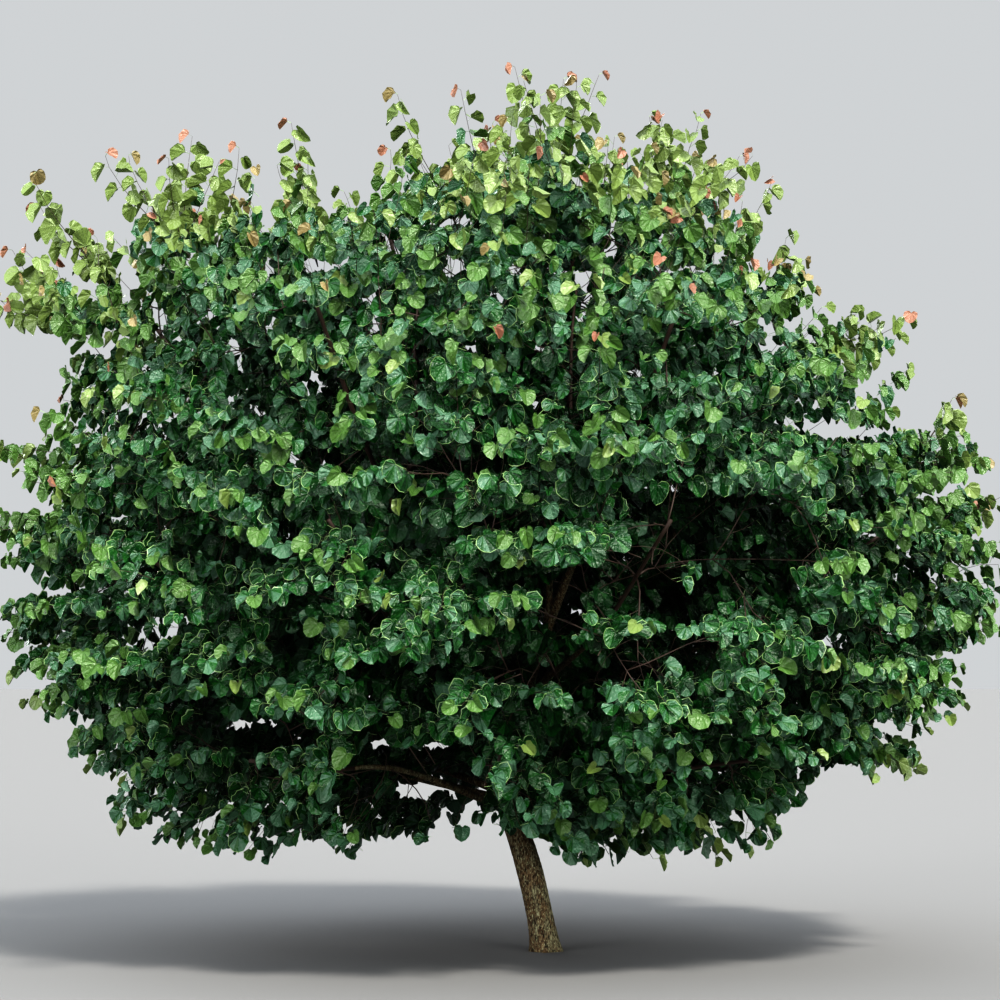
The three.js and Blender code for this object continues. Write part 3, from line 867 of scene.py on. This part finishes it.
def ring_triangles(count, sides):
    """Triangles between rings of vertices, one after another, with both ends closed."""
    ring = np.arange(sides)
    beside = (ring + 1) % sides
    triangles = []
    for low in range(0, (count - 1) * sides, sides):
        high = low + sides
        triangles.append(np.stack([low + ring, low + beside, high + beside], axis=1))
        triangles.append(np.stack([low + ring, high + beside, high + ring], axis=1))
    fan = np.arange(1, sides - 1)
    last = (count - 1) * sides
    triangles.append(np.stack([0 * fan, fan + 1, fan], axis=1))
    triangles.append(np.stack([last + 0 * fan, last + fan, last + fan + 1], axis=1))
    return np.concatenate(triangles)


def tube(points, radii, sides):
    """Vertices and triangles of a closed tube along points."""
    points = np.asarray(points)
    ways = unit(np.gradient(points, axis=0))
    normal = unit(np.cross(ways[0], TUBE_SIDE))
    rings = []
    turns = np.linspace(0, 2 * np.pi, sides, endpoint=False)[:, None]
    for point, way, radius in zip(points, ways, radii):
        normal = unit(normal - way * (normal @ way))
        binormal = np.cross(way, normal)
        rings.append(point + radius * (np.cos(turns) * normal + np.sin(turns) * binormal))
    return np.concatenate(rings), ring_triangles(len(points), sides)


def joined(parts):
    """Several (vertices, triangles) as one."""
    starts = np.cumsum([0] + [len(vertices) for vertices, _ in parts])
    return (
        np.concatenate([vertices for vertices, _ in parts]),
        np.concatenate([triangles + start for (_, triangles), start in zip(parts, starts)]),
    )


# ---- Materials ----

STALK_PLACE = (0.15, 0.5)  # where a blade meets its stalk, in texture coordinates
PLACE_SCALE = 0.75
VEIN_TURNS = 5.5  # how many veins a leaf has in a full turn about its stalk, halved
VEIN_ROUNDNESS = 0.5
VEIN_HEIGHT = 0.3
PUCKER_SCALE = 85
PUCKER_DETAIL = 3

# Kinds of leaf, with their base colour, roughness and how deep they are puckered.
LEAF_KINDS = [
    # The first kind is painted shade: the darkest green, for leaves inside and under the crown.
    ("leaf_shaded", (0.003, 0.035, 0.005), 0.26, 1),
    ("leaf_green", (0.012, 0.071, 0.012), 0.26, 1),
    # The paler, bluer kind is partly leaves' paler undersides, partly painted reflection of sky.
    ("leaf_sheen", (0.05, 0.12, 0.066), 0.26, 1),
    # The bright kind is partly paler leaves at sprays' ends, partly painted sunlight on them.
    ("leaf_bright", (0.06, 0.128, 0.028), 0.28, 0.9),
    # The young leaves' own yellow-green, also dealt as painted light on the lit top and flanks.
    ("leaf_young", (0.125, 0.18, 0.05), 0.35, 0.5),
    ("leaf_bronze", (0.22, 0.105, 0.065), 0.42, 0.5),
    ("leaf_tinged", (0.185, 0.15, 0.065), 0.4, 0.5),
    # Pale rims are partly the margin's own yellower green, partly a painted highlight on its curl.
    ("leaf_rim", (0.18, 0.28, 0.11), 0.42, 0),
]
SHADED, GREEN, SHEEN, BRIGHT, YOUNG, BRONZE, TINGED, RIM = range(len(LEAF_KINDS))

# The bark's colours by the height of its flakes, and the shares of grey and lichen by their noise.
# Their darkest colours, where the flakes sink, paint shade into the cracks between them.
BROWN_FLAKES = [(0.36, (0.012, 0.007, 0.003)), (0.5, (0.07, 0.043, 0.021)), (0.66, (0.14, 0.1, 0.052))]
GREY_FLAKES = [(0.36, (0.016, 0.013, 0.007)), (0.5, (0.085, 0.073, 0.042)), (0.64, (0.18, 0.17, 0.105))]
LICHEN_FLAKES = [(0.3, (0.15, 0.15, 0.08)), (0.7, (0.3, 0.31, 0.2))]
GREY_PATCHES = [(0.46, (0, 0, 0)), (0.66, (1, 1, 1))]
LICHEN_SPECKLES = [(0.57, (0, 0, 0)), (0.66, (1, 1, 1))]
BARK_STRETCH = 0.4  # the flakes' scale along the trunk, as a share of that across it
GREYER_RIGHT = 0.13  # how much greyer the bark is on its right side


def new_material(name, colour, roughness, specular=0.5):
    """A Principled material and its node tree and shader."""
    material = bpy.data.materials.new(name)
    material.use_nodes = True
    tree = material.node_tree
    shader = tree.nodes["Principled BSDF"]
    shader.inputs["Base Color"].default_value = (*colour, 1)
    shader.inputs["Roughness"].default_value = roughness
    shader.inputs["Specular IOR Level"].default_value = specular
    return material, tree, shader


def add_node(tree, kind, inputs, **settings):
    """A node with its settings and its inputs, each of them a value or another node's output."""
    node = tree.nodes.new(kind)
    for setting, value in settings.items():
        setattr(node, setting, value)
    for name, value in inputs.items():
        if isinstance(value, bpy.types.NodeSocket):
            tree.links.new(value, node.inputs[name])
        else:
            node.inputs[name].default_value = value
    return node


def math_node(tree, operation, *values):
    """The output of a Math node."""
    return add_node(tree, "ShaderNodeMath", dict(enumerate(values)), operation=operation).outputs[0]


def object_place(tree):
    """The place of a point on its object, in metres."""
    return add_node(tree, "ShaderNodeTexCoord", {}).outputs["Object"]


def noise_node(tree, place, scale, detail):
    """The grey output of a noise texture."""
    inputs = {"Vector": place, "Scale": scale, "Detail": detail}
    return add_node(tree, "ShaderNodeTexNoise", inputs).outputs["Fac"]


def ramp_node(tree, value, stops):
    """A colour for each value, from (position, colour) stops."""
    ramp = add_node(tree, "ShaderNodeValToRGB", {"Fac": value})
    elements = ramp.color_ramp.elements
    while len(elements) < len(stops):
        elements.new(0.5)
    for element, (position, colour) in zip(elements, stops):
        element.position = position
        element.color = (*colour, 1)
    return ramp.outputs["Color"]


def blend_node(tree, share, under, over):
    """One colour over another by a share."""
    inputs = {"Factor": share, "A": under, "B": over}
    return add_node(tree, "ShaderNodeMix", inputs, data_type="RGBA").outputs["Result"]


def add_relief(tree, shader, height, strength, distance):
    """Relief on a material's surface, from the output that says how high it is."""
    inputs = {"Height": height, "Strength": strength, "Distance": distance}
    bump = add_node(tree, "ShaderNodeBump", inputs)
    tree.links.new(bump.outputs["Normal"], shader.inputs["Normal"])


def leaf_material(name, colour, roughness, puckers):
    """A waxy leaf: plain colour, sunk along the veins that spread from its stalk, and puckered."""
    material, tree, shader = new_material(name, colour, roughness)
    place = add_node(tree, "ShaderNodeUVMap", {}, uv_map="leaf_place").outputs["UV"]
    axes = add_node(tree, "ShaderNodeSeparateXYZ", {0: place})
    along = math_node(tree, "SUBTRACT", axes.outputs["X"], STALK_PLACE[0])
    across = math_node(tree, "SUBTRACT", axes.outputs["Y"], STALK_PLACE[1])
    angle = math_node(tree, "ARCTAN2", across, along)
    wave = math_node(tree, "SINE", math_node(tree, "MULTIPLY", angle, VEIN_TURNS))
    blade = math_node(tree, "POWER", math_node(tree, "ABSOLUTE", wave), VEIN_ROUNDNESS)
    blade = math_node(tree, "MULTIPLY", blade, VEIN_HEIGHT)
    pucker = noise_node(tree, object_place(tree), PUCKER_SCALE, PUCKER_DETAIL)
    height = math_node(tree, "MULTIPLY", math_node(tree, "ADD", pucker, blade), puckers)
    add_relief(tree, shader, height, strength=0.9, distance=0.01)
    return material


def bark_material():
    """Rough brown bark in upright flakes, greyer in patches, with specks of lichen."""
    material, tree, shader = new_material("bark", (0.1, 0.07, 0.045), roughness=0.9, specular=0.25)
    stretch = {"Vector": object_place(tree), "Scale": (1, 1, BARK_STRETCH)}
    upright = add_node(tree, "ShaderNodeMapping", stretch).outputs["Vector"]
    flakes = noise_node(tree, upright, scale=110, detail=6)
    blotches = noise_node(tree, upright, scale=30, detail=5)
    specks = noise_node(tree, upright, scale=190, detail=3)
    geometry = add_node(tree, "ShaderNodeNewGeometry", {})
    facing = add_node(tree, "ShaderNodeSeparateXYZ", {0: geometry.outputs["Normal"]})
    greyness = math_node(tree, "MULTIPLY_ADD", facing.outputs["X"], GREYER_RIGHT, blotches)
    # The flakes' colours darken where they sink, painting shade into the cracks.
    brown = ramp_node(tree, flakes, BROWN_FLAKES)
    grey = ramp_node(tree, flakes, GREY_FLAKES)
    lichen = ramp_node(tree, flakes, LICHEN_FLAKES)
    colour = blend_node(tree, ramp_node(tree, greyness, GREY_PATCHES), brown, grey)
    colour = blend_node(tree, ramp_node(tree, specks, LICHEN_SPECKLES), colour, lichen)
    tree.links.new(colour, shader.inputs["Base Color"])
    add_relief(tree, shader, flakes, strength=0.8, distance=0.006)
    return material


def twig_material():
    """Smooth dark young bark, slightly uneven."""
    material, tree, shader = new_material("twig_bark", (0.035, 0.02, 0.014), 0.6, specular=0.4)
    grain = noise_node(tree, object_place(tree), scale=160, detail=2)
    add_relief(tree, shader, grain, strength=0.5, distance=0.002)
    return material


leaf_materials = [leaf_material(*kind) for kind in LEAF_KINDS]
bark = bark_material()
twig_bark = twig_material()

# ---- Leaves ----

# Half a leaf blade, for a midrib of length 1 from the stalk to the point: x along it and y across.
OUTLINE = [
    (0, 0), (-0.12, 0.2), (-0.08, 0.46), (0.14, 0.62), (0.42, 0.66), (0.7, 0.56), (0.9, 0.34),
    (0.98, 0),
]  # fmt: skip
INNER_CORNERS = [0, 2, 3, 5, 6, 7]  # the corners that are left on a leaf inside the crown
PLEAT = 0.05  # how far the blade rises between its veins, and how far it sinks along them
RIM_WIDTH = 0.03
RIM_CURL = 0.03
RIM_POINT = 1.5  # how much wider the rim is at the leaf's point
BLADE_MIDDLE = (0.35, 0.2, 0)
STALK_WIDTH = 0.0011
STALK_DEPTH = 0.0009

OUTER_FROM = 0.72  # leaves farther out in the crown than this have all their corners
RIMMED_SHARE = 0.62  # the share of those that have a rim
# Pale rims paint a highlight where the curled margins of dark leaves catch the light.
PALE_RIMS = 0.7  # the share of dark leaves' rims that are pale
# Lighter and darker facets paint light and shade on the pleats between the blade's veins.
SHADED_AND_LIT_FACETS = 0.25  # the share of a dark blade's facets that are lighter, and of those that are darker
WHOLE_PIECE = 3  # a tier with more masses has its leaves in two pieces

# A leaf is lighter by each gain, in full where its place has passed from the first to the second
# value of the ranges beside it. They are crown shares, except that RAISED, LOW and LOW_RIGHT are
# degrees above or below level, ASIDE is x as a share of the crown's reach, and RIGHT is x.
# The gains paint shade inside and under the crown, and light where light would fall on it.
OUTSIDE_GAIN, OUTSIDE = 0.32, (0.7, 0.96)
# On top the lighter kinds stand partly for younger leaves too.
RAISED_GAIN, RAISED, NOT_INSIDE = 0.82, (-5, 58), (0.4, 0.85)
TIP_GAIN, TIP_OUTSIDE = 0.4, (0.6, 0.9)
ASIDE_GAIN, ASIDE = 0.4, (0.45, 0.9)
LOW_GAIN, LOW, LOW_OUTSIDE = 0.3, (5, 30), (0.75, 0.95)
LOW_RIGHT_GAIN, LOW_RIGHT, RIGHT = 0.3, (5, 25), (0.1, 0.8)
GREEN_FROM = 0.26
BRIGHT_FROM = 0.7
YOUNG_FROM = 1.13

# Other kinds, by a leaf's chance. A leaf's age is 0 at its shoot's foot and 1 at its tip.
SUNLIT_SCALE = 3.4  # the size of the groups of sprays that are lit from behind and paler
SUNLIT = (0, 0.3)  # the noise between which shade changes to sun
SUNLIT_FROM = 0.8  # the crown share outside which the sun lights them
BRIGHT_AGE = 0.6
BRIGHT_CHANCE = (0.12, 0.75)  # in shade and in sun
YOUNG_AGE = 0.75
YOUNG_CHANCE = (0.01, 0.13)  # in shade and in sun
UPPER_YOUNG_CHANCE = 0.42
UPPER = (15, 55)
# The paler, bluer kind paints the sky's reflection, and is partly the leaves' paler undersides.
SHEEN_CHANCE = 0.14  # of being paler and bluer
SHEEN_UPPER = 2  # how much likelier it is on top
SHEEN_LOW = 3  # and low down
SHEEN_OUTSIDE = (0.7, 0.9)
SHEEN_FROM = 0.5
TIP_AGE = 0.99  # only the last leaf of a shoot is older
TIP_FROM = 0.84
OPEN_AIR = (5, 30)
OPEN_AIR_OUTSIDE = (0.9, 0.98)
TINGED_CHANCE = 0.75
BRONZE_CHANCE = (0.25, 0.75)  # on top, and where the tips stand in open air
BRONZE_SIZE = 0.85


def deal_kinds(random):
    """Each leaf's kind, by its spray's tone, its age and its place, which paints light and shade."""
    age = leaves["age"]
    offset = leaves["base"] - CROWN_CENTRE
    elevation = np.degrees(np.arctan2(offset[:, 2], np.hypot(offset[:, 0], offset[:, 1])))
    # Darker kinds inside and under the crown are painted shade; lighter ones outside painted light.
    value = (
        leaves["tone"]
        + OUTSIDE_GAIN * smooth_step(outer, *OUTSIDE)
        + RAISED_GAIN * smooth_step(elevation, *RAISED) * smooth_step(outer, *NOT_INSIDE)
        + TIP_GAIN * (age - 0.5) * smooth_step(outer, *TIP_OUTSIDE)
        + ASIDE_GAIN * smooth_step(abs(offset[:, 0]) / SIDE_REACH, *ASIDE)
        + LOW_GAIN * smooth_step(-elevation, *LOW) * smooth_step(outer, *LOW_OUTSIDE)
        + LOW_RIGHT_GAIN * smooth_step(-elevation, *LOW_RIGHT) * smooth_step(offset[:, 0], *RIGHT)
    )
    kind = np.full(len(value), SHADED)
    kind[value > GREEN_FROM] = GREEN
    kind[value > BRIGHT_FROM] = BRIGHT
    kind[value > YOUNG_FROM] = YOUNG
    chance = random.random(len(kind))
    upper = smooth_step(elevation, *UPPER)
    # Sprays painted as lit by the sun take the bright and young kinds.
    sunlit = smooth_step(noise_at(leaves["base"], SUNLIT_SCALE), *SUNLIT)
    in_sun = (outer > SUNLIT_FROM) & (kind < BRIGHT) & (chance < mix(*BRIGHT_CHANCE, sunlit))
    kind[(age > BRIGHT_AGE) & in_sun] = BRIGHT
    young_chance = mix(mix(*YOUNG_CHANCE, sunlit), UPPER_YOUNG_CHANCE, upper)
    kind[(age > YOUNG_AGE) & (outer > SUNLIT_FROM) & (chance < young_chance)] = YOUNG
    # Likelier on top and low down, where the paler kind paints the sky's reflection.
    low_down = smooth_step(-elevation, *LOW) * smooth_step(outer, *SHEEN_OUTSIDE)
    sheen_chance = SHEEN_CHANCE * (1 + SHEEN_UPPER * upper + SHEEN_LOW * low_down)
    shining = random.random(len(kind)) < sheen_chance
    kind[shining & (kind < YOUNG) & (outer > SHEEN_FROM)] = SHEEN
    tipping = (age > TIP_AGE) & (outer > TIP_FROM)
    open_air = smooth_step(elevation, *OPEN_AIR) * smooth_step(outer, *OPEN_AIR_OUTSIDE)
    kind[tipping & (chance < np.maximum(TINGED_CHANCE * upper, open_air))] = TINGED
    on_top, in_open = BRONZE_CHANCE
    kind[tipping & (chance < np.maximum(on_top * upper, in_open * open_air))] = BRONZE
    return kind


def half_leaf(corners):
    """The edge of half a blade, pleated along the veins that spread from its stalk."""
    edge = np.array([(*OUTLINE[i], 0) for i in corners], float)
    edge[1:-1, 2:] = PLEAT * two_sides(len(edge) - 2)
    return edge


def plain_template(corners):
    """Vertices of a half-leaf, its triangles in a fan from its stalk, and no rim."""
    half = half_leaf(corners)
    blade = [(0, i, i + 1) for i in range(1, len(half) - 1)]
    return half, np.array(blade), np.zeros((0, 3), int)


def rimmed_template():
    """Vertices of a half-leaf with a curled rim, the triangles of its blade and those of the rim."""
    edge = half_leaf(range(len(OUTLINE)))
    last = len(edge) - 1
    inner = edge[1:] + unit(BLADE_MIDDLE - edge[1:]) * RIM_WIDTH - (0, 0, RIM_CURL)
    inner[-1] = (edge[-1, 0] - RIM_POINT * RIM_WIDTH, 0, -RIM_CURL)
    ring = [0] + [last + i for i in range(1, last + 1)]  # the inner corner beside each edge corner
    blade = [(0, ring[i], ring[i + 1]) for i in range(1, last)]
    rim = [(0, 1, ring[1])]
    for i in range(1, last):
        rim += [(i, i + 1, ring[i + 1]), (i, ring[i + 1], ring[i])]
    return np.concatenate([edge, inner]), np.array(blade), np.array(rim)


def leaf_place(x, y):
    """Texture coordinates for places on a blade, with the stalk's end at STALK_PLACE."""
    return np.stack([STALK_PLACE[0] + x * PLACE_SCALE, STALK_PLACE[1] + y * PLACE_SCALE], axis=1)


def leaf_parts(picked, template, pale_share, random):
    """Vertices, triangles, material numbers and texture coordinates of the leaves at those indices."""
    half, blade, rim = template
    traits = ("base", "along", "face", "size", "fold", "skew", "bend", "cup", "kind")
    base, along, face, *shape, kind = (leaves[trait][picked] for trait in traits)
    base, along, face = base[:, None], along[:, None], face[:, None]
    size, fold, skew, bend, cup = (trait[:, None] for trait in shape)
    across = np.cross(face, along)
    x, y, pleat = half.T
    corners = np.concatenate([blade, rim])
    offsets = np.arange(len(picked)) * len(half)
    parts, slots, places = [], [], []
    for side in (1, -1):
        pale = (kind <= GREEN) & (random.random(len(kind)) < pale_share)
        # Facets get painted light and shade; pale rims get a painted highlight.
        change = random.random((len(kind), len(blade)))
        shades = kind[:, None] + (change < SHADED_AND_LIT_FACETS).astype(int) - (change > 1 - SHADED_AND_LIT_FACETS)
        shades = np.where(kind[:, None] > SHEEN, kind[:, None], np.clip(shades, SHADED, SHEEN))
        rims = np.repeat(np.where(pale, RIM, kind)[:, None], len(rim), axis=1)
        slots.append(np.concatenate([shades, rims], axis=1).ravel())
        angle = fold + side * skew
        rise = pleat - bend * x * x - cup * y * y + y * np.sin(angle)
        local = x[:, None] * along + side * (y * np.cos(angle))[..., None] * across
        block = base + (local + rise[..., None] * face) * size[..., None]
        turned = corners[:, ::-1] if side == 1 else corners
        parts.append((block.reshape(-1, 3), (offsets[:, None, None] + turned).reshape(-1, 3)))
        places.append(np.tile(leaf_place(x, side * y), (len(picked), 1)))
    return *joined(parts), np.concatenate(slots), np.concatenate(places)


def stalk_parts(picked):
    """Leaf stalks, each a thin folded strip from the shoot to the blade."""
    foot, base, face = (leaves[key][picked] for key in ("from", "base", "face"))
    across = unit(np.cross(base - foot, face)) * STALK_WIDTH
    lift = face * STALK_DEPTH
    ends = [foot + across, foot - across, foot + lift, base + across, base - across, base + lift]
    corners = np.array([(0, 2, 5), (0, 5, 3), (2, 1, 4), (2, 4, 5)])
    offsets = np.arange(len(picked)) * len(ends)
    triangles = (offsets[:, None, None] + corners).reshape(-1, 3)
    places = np.tile(STALK_PLACE, (len(ends) * len(picked), 1))
    return np.stack(ends, axis=1).reshape(-1, 3), triangles, np.full(len(triangles), RIM), places


def make_leaf_piece(name, own, random):
    """The leaves of a few masses as one piece."""
    mine = np.isin(leaves["mass"], [mass["index"] for mass in own])
    pieces = [
        leaf_parts(np.flatnonzero(mine & (outer > OUTER_FROM) & has_rim), rimmed, PALE_RIMS, random),
        leaf_parts(np.flatnonzero(mine & (outer > OUTER_FROM) & ~has_rim), plain, 0, random),
        leaf_parts(np.flatnonzero(mine & (outer <= OUTER_FROM)), inside, 0, random),
        stalk_parts(np.flatnonzero(mine)),
    ]
    vertices, triangles = joined([(v, t) for v, t, _, _ in pieces])
    slots = np.concatenate([s for _, _, s, _ in pieces])
    places = np.concatenate([p for _, _, _, p in pieces])
    piece = mesh_piece(name, vertices, triangles, slots, leaf_materials, places, smooth=False)
    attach(piece, "root")
    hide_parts(*[f"foliage_{mass['name']}" for mass in own])


def make_twig_piece(tier, own):
    """The stems, branches and shoots of a tier's masses as one piece."""
    vertices, triangles = joined([tube(*twig[1:]) for twig in twigs if twig[0]["tier"] == tier])
    slots = np.zeros(len(triangles))
    piece = mesh_piece(f"twigs_{tier}", vertices, triangles, slots, [twig_bark])
    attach(piece, "root")
    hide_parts(*[f"foliage_{mass['name']}" for mass in own])


outer = crown_share(leaves["base"])
random = np.random.default_rng(SEED)
leaves["kind"] = deal_kinds(random)
leaves["size"][leaves["kind"] == BRONZE] *= BRONZE_SIZE
has_rim = np.random.default_rng(SEED + 1).random(len(outer)) < RIMMED_SHARE
rimmed = rimmed_template()
plain = plain_template(range(len(OUTLINE)))
inside = plain_template(INNER_CORNERS)
tiers = {row["tier"]: [mass for mass in masses if mass["tier"] == row["tier"]] for row in TIERS}
for tier, own in tiers.items():
    first = len(own) // 2 if len(own) > WHOLE_PIECE else len(own)
    make_leaf_piece(f"leaves_{tier}_a", own[:first], random)
    if own[first:]:
        make_leaf_piece(f"leaves_{tier}_b", own[first:], random)
for tier, own in tiers.items():
    make_twig_piece(tier, own)

# ---- Bark ----

BELOW_GROUND = 0.03
TRUNK_SIDES = 56
TRUNK_STEPS = 120
LIMB_STEP = 0.012
FUSED_SIDES = 20
LEADER_SIDES = 22
BOUGH_SIDES = 14
ROOT_SWELL = 0.5
ROOT_SWELL_LENGTH = 0.05
FUSED_SHARES = {"shoulder": 0.36, "skirt": 0.12}  # how much of each bough is fused to the trunk
OVERLAP = 0.02  # how far a fused limb and its plain end share their length
BARK_STEP = 0.0062  # the size of the bark mesh's faces on the trunk and round the fork
CREASE_ROUNDS = 5
PLATE_SCALE = 42
PLATE_STRETCH = 0.35
CRACK_WIDTH = 0.1
CRACK_DEPTH = 0.0035
LUMP_SCALE = 9
LUMP_HEIGHT = 0.007
FLAKE_SCALE = 130
FLAKE_HEIGHT = 0.0016


def trunk_radius(height, angle):
    """The trunk's radius at a height, in a direction, with its root flare and rounded top."""
    taper = mix(TRUNK_FOOT_RADIUS, TRUNK_FORK_RADIUS, height / FORK_HEIGHT)
    flare = FLARE * np.exp(-height / FLARE_HEIGHT)
    lobes = 1 + BUTTRESS_DEPTH * np.cos(BUTTRESSES * angle)
    over_fork = np.maximum(0, height - FORK_HEIGHT) / (TRUNK_TOP - FORK_HEIGHT)
    rounding = np.sqrt(1 - (1 - TOP_ROUNDING**2) * over_fork**2)
    return (taper + flare * lobes) * rounding


def trunk_part():
    """The trunk without its bark. It goes on a little below the ground, to be cut there."""
    levels = np.linspace(-BELOW_GROUND, TRUNK_TOP, TRUNK_STEPS + 1)
    angles = np.linspace(0, 2 * np.pi, TRUNK_SIDES, endpoint=False)
    ring = np.stack([np.sin(angles), -np.cos(angles), 0 * angles], axis=1)
    rings = [
        trunk_axis(level) + ring * trunk_radius(max(level, 0), angles)[:, None] for level in levels
    ]
    return np.concatenate(rings), ring_triangles(len(levels), TRUNK_SIDES)


def limb_part(bough, start, end, sides):
    """The part of a bough between two shares of its length, as a tube that swells at its root."""
    curve = bough["curve"]
    count = max(2, int(curve.length * (end - start) / LIMB_STEP))
    shares = np.linspace(start, end, count + 1)
    radii = mix(bough["root"], bough["tip"], shares)
    radii = radii * (1 + ROOT_SWELL * np.exp(-shares * curve.length / ROOT_SWELL_LENGTH))
    return tube(curve.at(shares), radii, sides)


def rows_of_three(items, name, kind):
    """What a mesh's items hold under a name, in rows of three numbers."""
    numbers = np.empty(3 * len(items), kind)
    items.foreach_get(name, numbers)
    return numbers.reshape(-1, 3)


def fused(parts):
    """Closed parts as one even mesh, with the creases between them smoothed into hollows."""
    vertices, triangles = joined(parts)
    draft = mesh_piece("draft", vertices, triangles, np.zeros(len(triangles)), [])
    modifier = draft.modifiers.new("fuse", "REMESH")
    modifier.mode = "VOXEL"
    modifier.voxel_size = BARK_STEP
    result = draft.evaluated_get(bpy.context.evaluated_depsgraph_get()).to_mesh()
    result.calc_loop_triangles()
    vertices = rows_of_three(result.vertices, "co", np.float32).astype(float)
    triangles = rows_of_three(result.loop_triangles, "vertices", np.int32)
    bpy.data.objects.remove(draft)
    ends = np.concatenate([triangles[:, [0, 1]], triangles[:, [1, 2]], triangles[:, [2, 0]]])
    beside = np.bincount(ends.ravel(), minlength=len(vertices))[:, None]
    for _ in range(CREASE_ROUNDS):
        around = np.zeros_like(vertices)
        np.add.at(around, ends[:, 0], vertices[ends[:, 1]])
        np.add.at(around, ends[:, 1], vertices[ends[:, 0]])
        vertices = mix(vertices, around / np.maximum(beside, 1), 0.5)
    return vertices, triangles


def outward_ways(vertices, triangles):
    """The direction in which the surface faces at each vertex."""
    a, b, c = (vertices[triangles[:, i]] for i in range(3))
    faces = np.cross(b - a, c - a)
    ways = np.zeros_like(vertices)
    for i in range(3):
        np.add.at(ways, triangles[:, i], faces)
    return unit(ways)


def bark_height(place, thickness):
    """How far bark stands out at a place, in plates that are longer along the limb, with cracks."""
    plates = noise.noise(place * PLATE_SCALE)
    crack = -CRACK_DEPTH * math.exp(-((plates / CRACK_WIDTH) ** 2))
    lumps = LUMP_HEIGHT * noise.noise(place * LUMP_SCALE)
    flakes = FLAKE_HEIGHT * noise.noise(place * FLAKE_SCALE)
    share = min(1, thickness / TRUNK_FORK_RADIUS)
    return (crack + flakes) * share + lumps * share


def with_bark(vertices, triangles):
    """The vertices with the bark's relief. It is measured along the limb that each lies on."""
    ways = outward_ways(vertices, triangles)
    rough = vertices.copy()
    for i, vertex in enumerate(vertices):
        _, nearest, _ = limb_tree.find(vertex)
        off_axis = vertex - limb_points[nearest]
        place = Vector(off_axis) + Vector((0, 0, limb_travel[nearest] * PLATE_STRETCH))
        rough[i] += ways[i] * bark_height(place, limb_radii[nearest])
    rough[:, 2] = np.where(vertices[:, 2] < BARK_STEP, np.maximum(rough[:, 2], 0), rough[:, 2])
    return rough


fork_parts = [trunk_part()]
end_parts = []
for bough in boughs:
    tier = bough["mass"]["tier"]
    share = FUSED_SHARES.get(tier, 0)
    if share:
        fork_parts.append(limb_part(bough, 0, share, FUSED_SIDES))
    sides = LEADER_SIDES if tier == "shoulder" else BOUGH_SIDES
    end_parts.append(limb_part(bough, max(0, share - OVERLAP), 1, sides))
parts = [fused(fork_parts), joined(end_parts)]
vertices, triangles = joined([(with_bark(*part), part[1]) for part in parts])
piece = mesh_piece("bark", vertices, triangles, np.zeros(len(triangles)), [bark])
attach(piece, "root")
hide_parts("trunk", *[f"bough_{mass['name']}" for mass in masses])

# ---- Floor and lights ----

FLOOR_REACH = 400
SKY = [(0.3, (0.25, 0.257, 0.262)), (0.6, (0.82, 0.87, 0.92))]  # by how far up a sight line goes
SKY_STRENGTH = 1.9

floor_mesh = bpy.data.meshes.new("floor")
corners = [(-1, -1), (1, -1), (1, 1), (-1, 1)]
floor_mesh.from_pydata([(FLOOR_REACH * x, FLOOR_REACH * y, 0) for x, y in corners], [], [(0, 1, 2, 3)])
floor = bpy.data.objects.new("floor", floor_mesh)
bpy.context.scene.collection.objects.link(floor)
floor_material, _, _ = new_material("floor", (0.17, 0.17, 0.17), 0.95, specular=0)
floor_mesh.materials.append(floor_material)

world = bpy.data.worlds.new("world")
world.use_nodes = True
sky = world.node_tree
view_way = add_node(sky, "ShaderNodeTexCoord", {}).outputs["Generated"]
parts_of_way = add_node(sky, "ShaderNodeSeparateXYZ", {"Vector": view_way})
sky.links.new(ramp_node(sky, parts_of_way.outputs["Z"], SKY), sky.nodes["Background"].inputs["Color"])
sky.nodes["Background"].inputs["Strength"].default_value = SKY_STRENGTH
bpy.context.scene.world = world


def sun_light(name, turn, height, spread, strength, colour):
    """A soft far light from a direction: turn from the front to the right, height above level."""
    light = bpy.data.lights.new(name, "SUN")
    light.angle = math.radians(spread)
    light.energy = strength
    light.color = colour
    lamp = bpy.data.objects.new(name, light)
    lamp.rotation_euler = Vector(direction(turn - 90, height)).to_track_quat("Z", "Y").to_euler()
    bpy.context.scene.collection.objects.link(lamp)


sun_light("key_light", turn=22, height=48, spread=8, strength=4.6, colour=(1, 0.96, 0.88))
sun_light("fill_light", turn=-40, height=12, spread=30, strength=2.1, colour=(0.97, 0.98, 1))
sun_light("low_light", turn=32, height=4, spread=30, strength=2.8, colour=(1, 0.98, 0.93))
sun_light("back_light", turn=205, height=24, spread=30, strength=1.3, colour=(0.97, 0.98, 1))

bpy.context.scene.view_settings.view_transform = "Standard"
bpy.context.scene.view_settings.look = "High Contrast"
